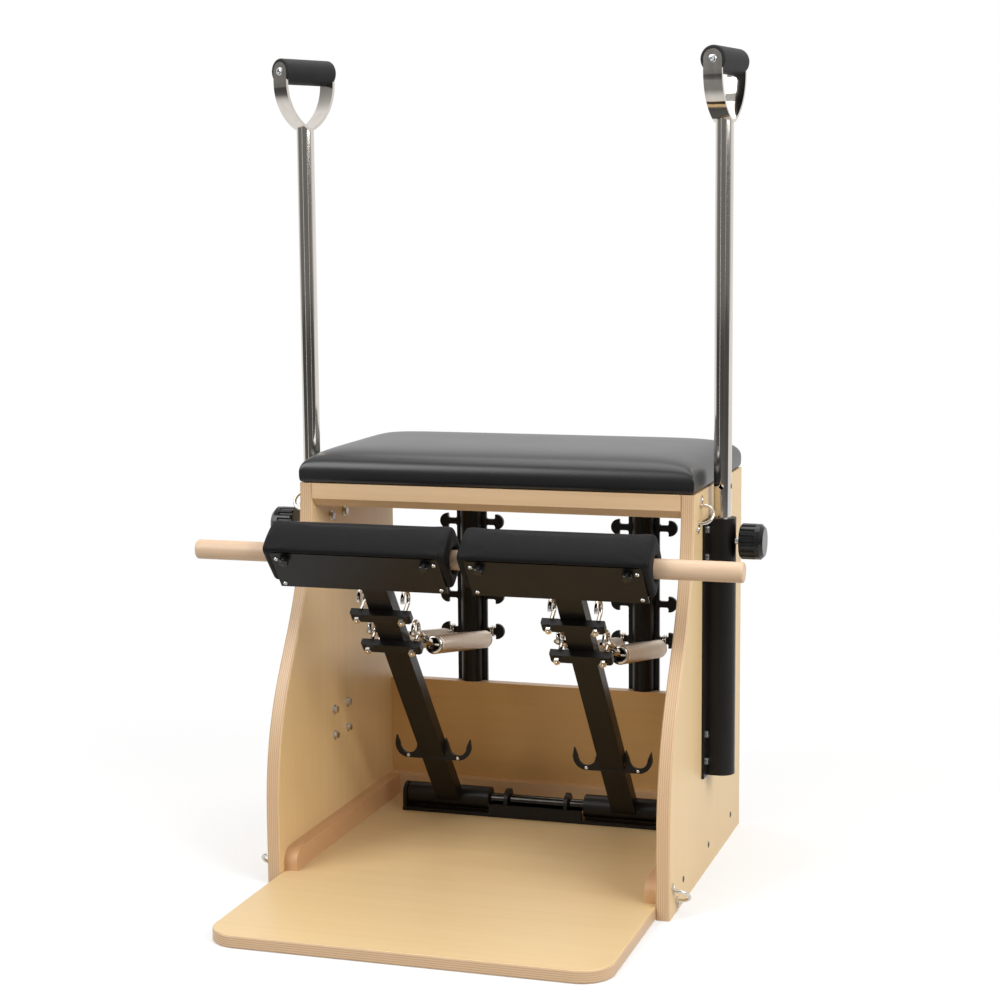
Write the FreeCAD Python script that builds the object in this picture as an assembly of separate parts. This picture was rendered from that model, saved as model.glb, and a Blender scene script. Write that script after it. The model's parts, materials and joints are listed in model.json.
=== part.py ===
import FreeCAD, Part
import math
import os

from FreeCAD import Vector

# Split-pedal exercise chair: a plywood box seat with two sprung pedals joined by a wooden dowel,
# two spring posts at the back and two lift-out hand poles at the sides.
# Millimetres. +X is the sitter's left hand seen from the front (viewer's right), +Y is the back,
# +Z is up. The origin is on the floor under the middle of the whole chair.

# Plywood body
chair_width = 600.0
panel_thickness = 20.0
panel_height = 572.0
panel_depth_top = 343.0
panel_depth_floor = 493.0
panel_curve_low_z = 100.0
panel_edge_round = 3.0
base_thickness = 18.0
base_depth = 759.0
base_corner_radius = 45.0
base_edge_round = 2.5
back_thickness = 18.0
back_height = 208.0
cleat_width = 20.0
cleat_height = 32.0
cleat_nose_radius = 22.0
side_cleat_front = 478.0
front_rail_depth = 22.0
front_rail_height = 35.0
front_rail_chamfer = 12.0
rear_rail_height = 66.0

# Seat
seat_board_thickness = 12.0
seat_board_inset = 14.0
seat_side_overhang = 0.0
seat_front_overhang = 2.0
seat_back_inset = 2.0
seat_side_height = 16.0
seat_shoulder_rise = 25.0
seat_shoulder_reach = 42.0
seat_crown = 10.0
seat_crown_reach = 108.0
seat_tuck = 3.0
seat_front_radius = 9.0
seat_back_radius = 15.0
seat_gap = 0.3

# Spring posts on the back
post_spacing = 288.0
post_width = 50.0
post_plate_thickness = 6.0
post_foot_z = 130.0
post_head_z = 556.0
post_tube_radius = 18.0
post_tube_wall = 3.0
hook_heights = (289.5, 348.0, 470.0)
neck_length = 15.0
neck_height = 10.0
cap_height = 25.0
cap_depth = 14.0
neck_corner_radius = 3.0

# Pedal hinge on the base board
hinge_setback = 114.0
hinge_axis_z = 43.0
hinge_end_gap = 39.0
hinge_base_depth = 40.0
hinge_base_thickness = 6.0
bearing_thickness = 6.0
bearing_radius = 18.0
bearing_inner_x = 46.0
hinge_lip_height = 14.0
axle_radius = 9.0
axle_fit = 0.08
pivot_tube_radius = 18.0
pivot_tube_wall = 3.5
pivot_tube_inner_x = 78.0
pivot_end_gap = 2.0
bush_length = 22.0
bush_fit = 0.05

# Pedal arm, in the arm's own frame: origin on the hinge axis, Z along the arm, -Y the front face
arm_lean = 38.6
arm_width = 38.0
arm_depth = 20.0
arm_wall = 2.5
arm_front = 16.0
bar_length = 92.0
bar_depth = 12.0
bar_height = 16.0
bar_chamfer = 3.0
bar_heights = (396.0, 464.0)
loop_spread = 68.0
loop_radius = 12.5
loop_rod_radius = 3.0
loop_hole_clearance = 0.2
loop_standoff = 2.0
loop_end_angle = 160.0
nut_radius = 5.8
nut_height = 6.0
rod_tail = 3.0
cradle_height = 134.5
cradle_spread = 81.0
cradle_outer_radius = 21.5
cradle_inner_radius = 14.3
cradle_horn = 13.0
cradle_thickness = 6.0
cradle_front = 2.6

# Pedal head
plate_width = 251.0
head_foot = 545.0
head_height = 70.0
head_front = 40.0
head_back = 12.0
head_corner_radius = 19.0
head_top_radius = 4.0
head_sheet = 3.0
end_plate_thickness = 4.0
pad_width = 262.0
pad_thickness = 8.0
pad_overhang = 1.0
pad_front_round = 4.0
pad_crown = 2.5
pad_end_draw = 2.5
pad_gap = 0.3
dowel_rise = 37.0
dowel_front = 12.0

# Dowel
dowel_radius = 14.0
dowel_length = 799.0
dowel_clearance = 0.3
dowel_end_round = 3.0

# Springs: each hangs by its eye from the neck of a post hook, the coil below the eye, and its
# snap hook reaches forward and up to a ring inside a pedal loop
spring_rise = 9.3
wire_radius = 1.5
coil_radius = 13.0
coil_turns = 16
coil_drop = 11.6
coil_start = 48.0
coil_length = 243.0
coil_end_bend = 4.0
eye_wire_radius = 1.5
eye_clearance = 0.5
eye_spacing = 3.6
cup_depth = 7.0
cup_round = 5.0
stem_radius = 2.5
collar_thickness = 6.0
collar_wall = 5.0
collar_round = 4.5
collar_bar_radius = 2.0
ring_length = 24.0
ring_half_width = 8.0
ring_wire_radius = 2.6
ring_forward = 3.55
ring_drop = 4.21
swivel_radius = 6.0
swivel_length = 16.0

# Hand poles
pole_standoff = 20.0
pole_setback = 244.0
pole_radius = 13.0
pole_wall = 2.0
pole_foot_z = 232.0
pole_clearance = 0.3
pole_hole_z = 574.0
pole_hole_radius = 4.0
glide_height = 10.0
glide_spigot = 20.0
holder_foot_z = 148.0
holder_length = 380.0
holder_wall = 6.7
flange_width = 90.0
flange_thickness = 4.0
bolt_spread = 54.0
bolt_heights = (23.0, 63.0, 325.0, 365.0)
bolt_radius = 3.0
bolt_head_radius = 5.5
bolt_head_height = 3.0
washer_radius = 7.5
washer_height = 1.5
bolt_nut_height = 4.5
bolt_clearance = 0.3
handle_foot_z = 1092.0
handle_half_length = 49.0
strap_width = 28.0
strap_thickness = 4.0
strap_side_radius = 77.0
strap_foot_radius = 16.0
strap_leg = 15.8
grip_radius = 19.0
grip_end_gap = 0.3
grip_round = 3.0
handle_turn = (-25.0, -9.5)

# Clamp knobs on the pole holders
clamp_height = 346.0
stud_radius = 5.0
stud_clearance = 0.3
stud_tip_gap = 0.3
knob_gap = 7.5
knob_length = 35.0
knob_radius = 26.0
knob_cap = 12.0
knob_dome = 5.0
flute_count = 16
flute_radius = 2.6
knob_socket = 16.0

# Footman loops on the outer faces of the side panels: (setback, height, turn from the vertical)
loop_places = ((313.0, 541.0, -33.0), (460.0, 27.0, 46.0))
footman_radius = 14.0
footman_rod = 2.5
footman_leg = 4.0
footman_tab_length = 14.0
footman_tab_width = 10.0
footman_tab_thickness = 2.5

# Derived places
eye_radius = math.hypot(neck_height, post_plate_thickness) / 2.0 + eye_clearance + eye_wire_radius
rear_reach = post_plate_thickness / 2.0 + eye_radius + eye_wire_radius
rear_y = (base_depth - rear_reach) / 2.0
half_width = chair_width / 2.0
seat_width = chair_width + 2.0 * seat_side_overhang
inner_x = half_width - panel_thickness
rail_foot_z = panel_height - rear_rail_height
hinge_y = rear_y - hinge_setback
pedal_x = post_spacing / 2.0
hinge_half_length = inner_x - cleat_width - hinge_end_gap
pivot_outer_x = hinge_half_length - bearing_thickness - pivot_end_gap
pole_x = half_width + pole_standoff
pole_y = rear_y - pole_setback
holder_radius = pole_radius + pole_clearance + holder_wall
head_top = head_foot + head_height
core_foot = head_foot + pad_thickness
dowel_height = head_foot + dowel_rise
arm_top = core_foot
loop_y = loop_standoff + loop_radius + loop_rod_radius - arm_front
coil_reach = coil_radius + wire_radius
coil_end = coil_start + coil_length
bend_centre_x = handle_half_length - strap_side_radius
bend_angle = math.acos(-bend_centre_x / (strap_side_radius - strap_foot_radius))
bend_rise = (strap_side_radius - strap_foot_radius) * math.sin(bend_angle) + strap_foot_radius
grip_rise = bend_rise + strap_leg
SIDES = (("left", -1), ("right", 1))


def box(x0, x1, y0, y1, z0, z1):
    return Part.makeBox(x1 - x0, y1 - y0, z1 - z0, Vector(x0, y0, z0))


def rod(radius, start, end):
    axis = end - start
    return Part.makeCylinder(radius, axis.Length, start, axis)


def pipe(outer, inner, start, end):
    return rod(outer, start, end).cut(rod(inner, start, end))


def outline(points):
    return Part.Face(Part.makePolygon(points + [points[0]]))


def arc(start, middle, end):
    return Part.Arc(start, middle, end).toShape()


def line(start, end):
    return Part.LineSegment(start, end).toShape()


def fuse(shapes):
    whole = shapes[0].multiFuse(shapes[1:])
    return whole.removeSplitter()


def rounded_rectangle(x0, x1, y0, y1, z, front_radius, back_radius):
    """Closed wire with front corners (low Y) and back corners of their own radii."""
    edges = []
    corners = (
        (x1, y0, -1, 1, front_radius, 270.0),
        (x1, y1, -1, -1, back_radius, 0.0),
        (x0, y1, 1, -1, back_radius, 90.0),
        (x0, y0, 1, 1, front_radius, 180.0),
    )
    ends = []
    for x, y, sx, sy, radius, angle in corners:
        centre = Vector(x + sx * radius, y + sy * radius, z)
        points = []
        for turn in (0.0, 45.0, 90.0):
            a = math.radians(angle + turn)
            points.append(centre + Vector(math.cos(a), math.sin(a), 0) * radius)
        ends.append(points)
    for index, points in enumerate(ends):
        edges.append(arc(points[0], points[1], points[2]))
        edges.append(line(points[2], ends[(index + 1) % 4][0]))
    return Part.Wire(edges)


def save(name, shape):
    shape.exportStep("parts/" + name + ".step")


def mirrored(shape):
    return shape.mirror(Vector(0, 0, 0), Vector(1, 0, 0))


# Plywood body

def bolt_points():
    """Centres of the pole holder's bolts as (y, z)."""
    places = []
    for dy in (-bolt_spread / 2.0, bolt_spread / 2.0):
        for dz in bolt_heights:
            places.append((pole_y + dy, holder_foot_z + dz))
    return places


def side_panel():
    """Right panel: straight back, S-shaped front edge, holes for the pole holder's bolts."""
    x = inner_x
    front_top = rear_y - panel_depth_top
    front_low = rear_y - panel_depth_floor
    sweep = (panel_height - panel_curve_low_z) / 2.0
    poles = [
        Vector(x, front_top, panel_height),
        Vector(x, front_top, panel_height - sweep),
        Vector(x, front_low, panel_curve_low_z + sweep),
        Vector(x, front_low, panel_curve_low_z),
    ]
    curve = Part.BezierCurve()
    curve.setPoles(poles)
    edges = [
        curve.toShape(),
        line(poles[3], Vector(x, front_low, 0)),
        line(Vector(x, front_low, 0), Vector(x, rear_y, 0)),
        line(Vector(x, rear_y, 0), Vector(x, rear_y, panel_height)),
        line(Vector(x, rear_y, panel_height), poles[0]),
    ]
    panel = Part.Face(Part.Wire(edges)).extrude(Vector(panel_thickness, 0, 0))
    rounded = []
    for edge in panel.Edges:
        box_of = edge.BoundBox
        along_profile = box_of.XLength < 0.01
        on_front = box_of.YMax < front_top + 0.01
        if along_profile and on_front:
            rounded.append(edge)
    panel = panel.makeFillet(panel_edge_round, rounded)
    for y, z in bolt_points():
        hole = rod(bolt_radius + bolt_clearance, Vector(x - 1, y, z), Vector(half_width + 1, y, z))
        panel = panel.cut(hole)
    return panel


def base_board():
    """Floor board with rounded front corners and eased edges."""
    front = rear_y - base_depth
    back = rear_y - back_thickness
    r = base_corner_radius
    diagonal = r * (1.0 - math.sqrt(0.5))
    left, right = -inner_x, inner_x
    edges = [
        line(Vector(right, back, 0), Vector(left, back, 0)),
        line(Vector(left, back, 0), Vector(left, front + r, 0)),
        arc(
            Vector(left, front + r, 0),
            Vector(left + diagonal, front + diagonal, 0),
            Vector(left + r, front, 0)),
        line(Vector(left + r, front, 0), Vector(right - r, front, 0)),
        arc(
            Vector(right - r, front, 0),
            Vector(right - diagonal, front + diagonal, 0),
            Vector(right, front + r, 0)),
        line(Vector(right, front + r, 0), Vector(right, back, 0)),
    ]
    board = Part.Face(Part.Wire(edges)).extrude(Vector(0, 0, base_thickness))
    eased = []
    for edge in board.Edges:
        flat = edge.BoundBox.ZLength < 0.01
        if flat and edge.BoundBox.YMax < front + r + 0.01:
            eased.append(edge)
    return board.makeFillet(base_edge_round, eased)


def side_cleat():
    """Right base cleat with a rounded nose."""
    x0 = inner_x - cleat_width
    front = rear_y - side_cleat_front
    back = rear_y - back_thickness - cleat_width
    low = base_thickness
    high = base_thickness + cleat_height
    r = cleat_nose_radius
    diagonal = r * (1.0 - math.sqrt(0.5))
    edges = [
        line(Vector(x0, back, low), Vector(x0, front, low)),
        line(Vector(x0, front, low), Vector(x0, front, high - r)),
        arc(
            Vector(x0, front, high - r),
            Vector(x0, front + diagonal, high - diagonal),
            Vector(x0, front + r, high)),
        line(Vector(x0, front + r, high), Vector(x0, back, high)),
        line(Vector(x0, back, high), Vector(x0, back, low)),
    ]
    return Part.Face(Part.Wire(edges)).extrude(Vector(cleat_width, 0, 0))


def front_rail():
    """Rail under the front of the seat, with a chamfered lower front edge."""
    front = rear_y - panel_depth_top
    back = front + front_rail_depth
    low = panel_height - front_rail_height
    points = [
        Vector(-inner_x, front, panel_height),
        Vector(-inner_x, back, panel_height),
        Vector(-inner_x, back, low),
        Vector(-inner_x, front + front_rail_chamfer, low),
        Vector(-inner_x, front, low + front_rail_chamfer),
    ]
    return outline(points).extrude(Vector(2.0 * inner_x, 0, 0))


# Seat

def seat_board():
    side = seat_width / 2.0 - seat_board_inset
    front = rear_y - panel_depth_top - seat_front_overhang + seat_board_inset
    back = rear_y - seat_back_inset - seat_board_inset
    wire = rounded_rectangle(-side, side, front, back, panel_height, seat_front_radius, seat_back_radius)
    return Part.Face(wire).extrude(Vector(0, 0, seat_board_thickness))


def cushion_rings():
    """Heights above the cushion's foot and insets of its outlines, from the tuck to the crown."""
    rings = [(0.0, seat_tuck), (seat_side_height / 2.0, 0.0), (seat_side_height, 0.0)]
    for angle in (20.0, 40.0, 60.0, 75.0, 90.0):
        a = math.radians(angle)
        rise = seat_side_height + seat_shoulder_rise * math.sin(a)
        rings.append((rise, seat_shoulder_reach * (1.0 - math.cos(a))))
    top = seat_side_height + seat_shoulder_rise
    for share in (0.25, 0.5, 1.0):
        inset = seat_shoulder_reach + share * seat_crown_reach
        rings.append((top + seat_crown * (1.0 - (1.0 - share) ** 2), inset))
    return rings


def seat_cushion():
    """Crowned cushion whose sides pull in above the rail, hollow below for the seat board."""
    side = seat_width / 2.0
    front = rear_y - panel_depth_top - seat_front_overhang
    back = rear_y - seat_back_inset
    foot = panel_height + seat_gap
    wires = []
    for height, inset in cushion_rings():
        wires.append(rounded_rectangle(
            -side + inset, side - inset, front + inset, back - inset, foot + height,
            seat_front_radius, seat_back_radius))
    cushion = Part.makeLoft(wires, True, True)
    pocket_side = side - seat_board_inset + seat_gap
    pocket_front = front + seat_board_inset - seat_gap
    pocket_back = back - seat_board_inset + seat_gap
    pocket_top = panel_height + seat_board_thickness + seat_gap
    pocket = box(-pocket_side, pocket_side, pocket_front, pocket_back, foot - 1.0, pocket_top)
    return cushion.cut(pocket)


# Spring posts

def hook_outline(side, z):
    """One mushroom hook on the edge of a post plate: a round-bottomed neck and a half-round cap."""
    edge = post_width / 2.0
    neck_end = edge + neck_length
    half_neck = neck_height / 2.0
    half_cap = cap_height / 2.0
    r = neck_corner_radius
    inset = r * (1.0 - math.sqrt(0.5))

    def at(x, dz):
        return Vector(side * x, 0, z + dz)

    def half(up):
        """Edges from the post to the cap's tip along the upper (1) or lower (-1) side of the neck."""
        return [
            line(at(edge - 1.0, up * (half_neck + r)), at(edge, up * (half_neck + r))),
            arc(
                at(edge, up * (half_neck + r)),
                at(edge + inset, up * (half_neck + inset)),
                at(edge + r, up * half_neck)),
            line(at(edge + r, up * half_neck), at(neck_end - r, up * half_neck)),
            arc(
                at(neck_end - r, up * half_neck),
                at(neck_end - inset, up * (half_neck + inset)),
                at(neck_end, up * (half_neck + r))),
            line(at(neck_end, up * (half_neck + r)), at(neck_end, up * half_cap)),
        ]

    edges = [line(at(edge - 1.0, -half_neck - r), at(edge - 1.0, half_neck + r))]
    edges += half(1)
    edges.append(arc(at(neck_end, half_cap), at(neck_end + cap_depth, 0), at(neck_end, -half_cap)))
    edges += half(-1)[::-1]
    return Part.Face(Part.Wire(edges))


def spring_post():
    """Flat post with three pairs of hooks and a half-round stiffener welded to its front."""
    shapes = [box(-post_width / 2.0, post_width / 2.0, 0, post_plate_thickness, post_foot_z, post_head_z)]
    for z in hook_heights:
        for side in (-1, 1):
            shapes.append(hook_outline(side, z).extrude(Vector(0, post_plate_thickness, 0)))
    stiffener = pipe(
        post_tube_radius, post_tube_radius - post_tube_wall,
        Vector(0, 0, back_height), Vector(0, 0, rail_foot_z))
    behind = box(-post_width, post_width, 0, post_width, back_height - 1.0, rail_foot_z + 1.0)
    shapes.append(stiffener.cut(behind))
    return fuse(shapes)


# Pedal hinge

def hinge_base():
    """Foot plate with four bearing lugs and a raised front lip between the pedals."""
    front = hinge_y - hinge_base_depth / 2.0
    back = hinge_y + hinge_base_depth / 2.0
    low = base_thickness
    top = low + hinge_base_thickness
    shapes = [box(-hinge_half_length, hinge_half_length, front, back, low, top)]
    lip_end = pivot_tube_inner_x - pivot_end_gap
    shapes.append(box(-lip_end, lip_end, front, front + bearing_thickness, top, top + hinge_lip_height))
    lugs = (bearing_inner_x, hinge_half_length - bearing_thickness)
    for x in lugs:
        for side in (-1, 1):
            x0 = min(side * x, side * (x + bearing_thickness))
            x1 = x0 + bearing_thickness
            lug = box(x0, x1, hinge_y - bearing_radius, hinge_y + bearing_radius, top, hinge_axis_z)
            head = rod(bearing_radius, Vector(x0, hinge_y, hinge_axis_z), Vector(x1, hinge_y, hinge_axis_z))
            shapes.append(lug)
            shapes.append(head)
    base = fuse(shapes)
    return base.cut(axle_rod(axle_radius + axle_fit, hinge_half_length + 1.0))


def axle_rod(radius, reach):
    return rod(radius, Vector(-reach, hinge_y, hinge_axis_z), Vector(reach, hinge_y, hinge_axis_z))


# Pedals, drawn in the arm's frame and then leaned and moved to the hinge

def place_on_hinge(shape, side):
    placed = shape.copy()
    placed.rotate(Vector(0, 0, 0), Vector(1, 0, 0), arm_lean)
    placed.translate(Vector(side * pedal_x, hinge_y, hinge_axis_z))
    return placed


def pivot_ends(side):
    """Ends of the pivot tube along X, measured from the middle of the pedal."""
    inner = pivot_tube_inner_x - pedal_x
    outer = pivot_outer_x - pedal_x
    return (min(side * inner, side * outer), max(side * inner, side * outer))


def pedal_arm(side):
    """Box-section arm welded to its pivot tube, with two cross bars on its front face."""
    half = arm_width / 2.0
    front = -arm_front
    back = arm_depth - arm_front
    x0, x1 = pivot_ends(side)
    arm = box(-half, half, front, back, 0, arm_top)
    pivot = rod(pivot_tube_radius, Vector(x0, 0, 0), Vector(x1, 0, 0))
    shapes = [arm, pivot]
    for z in bar_heights:
        bar_front = front - bar_depth
        half_bar = bar_height / 2.0
        bar = box(-bar_length / 2.0, bar_length / 2.0, bar_front, front, z - half_bar, z + half_bar)
        ends = [e for e in bar.Edges if e.BoundBox.XLength < 0.01 and e.BoundBox.YMax < bar_front + 0.01]
        shapes.append(bar.makeChamfer(bar_chamfer, ends))
    arm = fuse(shapes)
    hollow = box(
        -half + arm_wall, half - arm_wall, front + arm_wall, back - arm_wall,
        pivot_tube_radius + arm_wall, arm_top + 1.0)
    arm = arm.cut(hollow)
    bore = pivot_tube_radius - pivot_tube_wall
    arm = arm.cut(rod(bore, Vector(x0 - 1, 0, 0), Vector(x1 + 1, 0, 0)))
    for x, z in loop_points():
        start = Vector(x, front - bar_depth - 1, z)
        arm = arm.cut(rod(loop_rod_radius + loop_hole_clearance, start, Vector(x, front + 1, z)))
    return arm


def loop_points():
    """Places where the spring loops pass through the cross bars, as (x, z) in the arm's frame."""
    return [(s * loop_spread / 2.0, z) for z in bar_heights for s in (-1, 1)]


def pivot_bushes(side):
    """Two plain bushes, one in each end of the pivot tube."""
    x0, x1 = pivot_ends(side)
    outer = pivot_tube_radius - pivot_tube_wall - bush_fit
    inner = axle_radius + axle_fit
    first = pipe(outer, inner, Vector(x0, 0, 0), Vector(x0 + bush_length, 0, 0))
    second = pipe(outer, inner, Vector(x1 - bush_length, 0, 0), Vector(x1, 0, 0))
    return Part.makeCompound([first, second])


def spring_loop(x, z):
    """Open eye of bent rod: a shank through the bar, then most of a circle, and the nut in front."""
    front = -arm_front - bar_depth
    shank_start = Vector(x, front - nut_height - rod_tail, z)
    centre = Vector(x, loop_y, z + loop_radius)

    def on_circle(angle):
        a = math.radians(angle)
        return centre + Vector(0, math.cos(a), math.sin(a)) * loop_radius

    path = Part.Wire([
        line(shank_start, on_circle(270.0)),
        arc(on_circle(270.0), on_circle(0.0), on_circle(90.0)),
        arc(on_circle(90.0), on_circle((90.0 + loop_end_angle) / 2.0), on_circle(loop_end_angle)),
    ])
    section = Part.Wire(Part.makeCircle(loop_rod_radius, shank_start, Vector(0, 1, 0)))
    bent = path.makePipeShell([section], True, False)
    corners = []
    for corner in range(6):
        a = math.radians(60.0 * corner)
        corners.append(Vector(x + nut_radius * math.cos(a), front - nut_height, z + nut_radius * math.sin(a)))
    nut = outline(corners).extrude(Vector(0, nut_height, 0))
    return fuse([bent, nut])


def spring_loops():
    return Part.makeCompound([spring_loop(x, z) for x, z in loop_points()])


def cradle():
    """Two upward U rests welded to the arm's sides; upright when the pedal is up."""
    centre_x = cradle_spread / 2.0
    shapes = []
    strip_low = -cradle_outer_radius
    strip_high = -cradle_inner_radius + (cradle_outer_radius - cradle_inner_radius) / 2.0
    shapes.append(box(-centre_x, centre_x, 0, cradle_thickness, strip_low, strip_high))
    for side in (-1, 1):
        middle = Vector(side * centre_x, 0, 0)
        disc = rod(cradle_outer_radius, middle, middle + Vector(0, cradle_thickness, 0))
        above = box(-chair_width, chair_width, -1, cradle_thickness + 1, 0, chair_width)
        shapes.append(disc.cut(above))
        for horn in (-1, 1):
            inner = side * centre_x + horn * cradle_inner_radius
            outer = side * centre_x + horn * cradle_outer_radius
            tip = Vector((inner + 3.0 * outer) / 4.0, 0, cradle_horn)
            points = [Vector(inner, 0, 0), Vector(outer, 0, 0), tip]
            shapes.append(outline(points).extrude(Vector(0, cradle_thickness, 0)))
    plate = fuse(shapes)
    for side in (-1, 1):
        middle = Vector(side * centre_x, -1, 0)
        plate = plate.cut(rod(cradle_inner_radius, middle, middle + Vector(0, cradle_thickness + 2, 0)))
    plate.translate(Vector(0, -cradle_thickness / 2.0, 0))
    plate.rotate(Vector(0, 0, 0), Vector(1, 0, 0), -arm_lean)
    plate.translate(Vector(0, -cradle_front, cradle_height))
    half = arm_width / 2.0
    return plate.cut(box(-half, half, -arm_front, arm_depth - arm_front, 0, arm_top))


def ring_point(x, centre, radius, angle):
    """Point on a circle across the pedal; the angle runs from the back upward."""
    a = math.radians(angle)
    return Vector(x, centre[0] + radius * math.cos(a), centre[1] + radius * math.sin(a))


def corner_arc(x, centre, radius, first, last):
    middle = (first + last) / 2.0
    return arc(
        ring_point(x, centre, radius, first),
        ring_point(x, centre, radius, middle),
        ring_point(x, centre, radius, last))


def core_corners(inset):
    """Centres of the core's lower and upper back corners, and their radii, inside by an inset."""
    low = (head_back - head_corner_radius, core_foot + head_corner_radius)
    high = (head_back - head_top_radius, head_top - head_top_radius)
    return low, head_corner_radius - inset, high, head_top_radius - inset


def core_face(x, inset, front):
    """Section of the pedal's core: open front, rounded back corners."""
    low, low_r, high, high_r = core_corners(inset)
    foot = core_foot + inset
    top = head_top - inset
    edges = [
        line(Vector(x, front, foot), ring_point(x, low, low_r, -90.0)),
        corner_arc(x, low, low_r, -90.0, 0.0),
        line(ring_point(x, low, low_r, 0.0), ring_point(x, high, high_r, 0.0)),
        corner_arc(x, high, high_r, 0.0, 90.0),
        line(ring_point(x, high, high_r, 90.0), Vector(x, front, top)),
        line(Vector(x, front, top), Vector(x, front, foot)),
    ]
    return Part.Face(Part.Wire(edges))


def pedal_head():
    """Sheet folded round the back of the pedal and closed by two end plates bored for the dowel."""
    half = plate_width / 2.0
    sheet = core_face(-half, 0.0, -head_front).extrude(Vector(plate_width, 0, 0))
    hollow_half = half - end_plate_thickness
    hollow = core_face(-hollow_half, head_sheet, -head_front - 1.0).extrude(Vector(2.0 * hollow_half, 0, 0))
    head = sheet.cut(hollow)
    start = Vector(-half - 1, -dowel_front, dowel_height)
    return head.cut(rod(dowel_radius + dowel_clearance, start, Vector(half + 1, -dowel_front, dowel_height)))


def pedal_front_plate():
    half = plate_width / 2.0
    return box(-half, half, -head_front - head_sheet, -head_front, head_foot, head_top)


def pad_section(x, draw):
    """Pad across the pedal: over the plate, a crowned top, down the back and round under it."""
    low, low_r, high, high_r = core_corners(-pad_gap)
    out_low = low_r + pad_thickness - draw
    out_high = high_r + pad_thickness - draw
    front = -head_front - head_sheet - pad_overhang + draw
    foot = head_top + pad_gap
    top = high[1] + out_high
    r = pad_front_round
    inset = r * (1.0 - math.sqrt(0.5))
    top_middle = Vector(x, (front + r + high[0]) / 2.0, top + pad_crown)
    back_middle = Vector(x, low[0] + out_low + pad_crown / 2.0, (low[1] + high[1]) / 2.0)
    edges = [
        line(Vector(x, front, foot), Vector(x, front, top - r)),
        arc(Vector(x, front, top - r), Vector(x, front + inset, top - inset), Vector(x, front + r, top)),
        arc(Vector(x, front + r, top), top_middle, ring_point(x, high, out_high, 90.0)),
        corner_arc(x, high, out_high, 90.0, 0.0),
        arc(ring_point(x, high, out_high, 0.0), back_middle, ring_point(x, low, out_low, 0.0)),
        corner_arc(x, low, out_low, 0.0, -45.0),
        line(ring_point(x, low, out_low, -45.0), ring_point(x, low, low_r, -45.0)),
        corner_arc(x, low, low_r, -45.0, 0.0),
        line(ring_point(x, low, low_r, 0.0), ring_point(x, high, high_r, 0.0)),
        corner_arc(x, high, high_r, 0.0, 90.0),
        line(ring_point(x, high, high_r, 90.0), Vector(x, front, foot)),
    ]
    return Part.Wire(edges)


def pedal_pad():
    """Padded cover, full along its length and drawn in at both ends."""
    half = pad_width / 2.0
    full = half - 2.0 * pad_end_draw
    wires = []
    for x, draw in ((-half, pad_end_draw), (-full, 0.0), (full, 0.0), (half, pad_end_draw)):
        wires.append(pad_section(x, draw))
    return Part.makeLoft(wires, True, True)


def dowel():
    """Wooden bar through both pedal heads."""
    middle = place_point_on_hinge(Vector(0, -dowel_front, dowel_height))
    start = Vector(-dowel_length / 2.0, middle.y, middle.z)
    bar = rod(dowel_radius, start, Vector(dowel_length / 2.0, middle.y, middle.z))
    return bar.makeFillet(dowel_end_round, [e for e in bar.Edges if e.BoundBox.XLength < 0.01])


def place_point_on_hinge(point):
    """A point of the arm's frame, in the chair's frame and on the chair's middle plane."""
    a = math.radians(arm_lean)
    y = point.y * math.cos(a) - point.z * math.sin(a)
    z = point.y * math.sin(a) + point.z * math.cos(a)
    return Vector(point.x, hinge_y + y, hinge_axis_z + z)


# Springs, drawn along +Z from the neck of the post hook and then leaned into place

def place_spring(shape, x):
    placed = shape.copy()
    placed.rotate(Vector(0, 0, 0), Vector(1, 0, 0), 90.0 - spring_rise)
    placed.translate(Vector(x, rear_y + post_plate_thickness / 2.0, hook_heights[0]))
    return placed


def ring_place():
    """Middle of the ring's front bend in the spring's frame, from the pedal loop it hooks into."""
    loop = place_point_on_hinge(Vector(0, loop_y, bar_heights[0] + loop_radius))
    reach = loop - Vector(0, rear_y + post_plate_thickness / 2.0, hook_heights[0])
    along = Vector(reach)
    along.normalize()
    upward = Vector(0, along.z, -along.y)
    ring = reach + along * ring_forward - upward * ring_drop
    a = math.radians(spring_rise)
    forward = -ring.y * math.cos(a) + ring.z * math.sin(a)
    above = ring.y * math.sin(a) + ring.z * math.cos(a)
    return Vector(0, above, forward)


def biarc(p1, t1, p2, t2):
    """Two arcs that join p1 to p2 with the given directions at the ends."""
    v = p2 - p1
    t = t1 + t2
    a = 2.0 * (1.0 - t1.dot(t2))
    b = v.dot(t)
    d = (-b + math.sqrt(b * b + a * v.dot(v))) / a
    joint = (p1 + p2 + (t1 - t2) * d) * 0.5
    return [arc_from(p1, t1, joint), arc_from(p2, t2 * -1.0, joint)]


def arc_from(p, tangent, q):
    """Arc from p along tangent to q."""
    chord = q - p
    n = tangent.cross(chord).cross(tangent)
    n.normalize()
    radius = chord.dot(chord) / (2.0 * chord.dot(n))
    centre = p + n * radius
    half_way = (p + q) * 0.5 - centre
    half_way.normalize()
    return p, centre + half_way * radius, q


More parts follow.
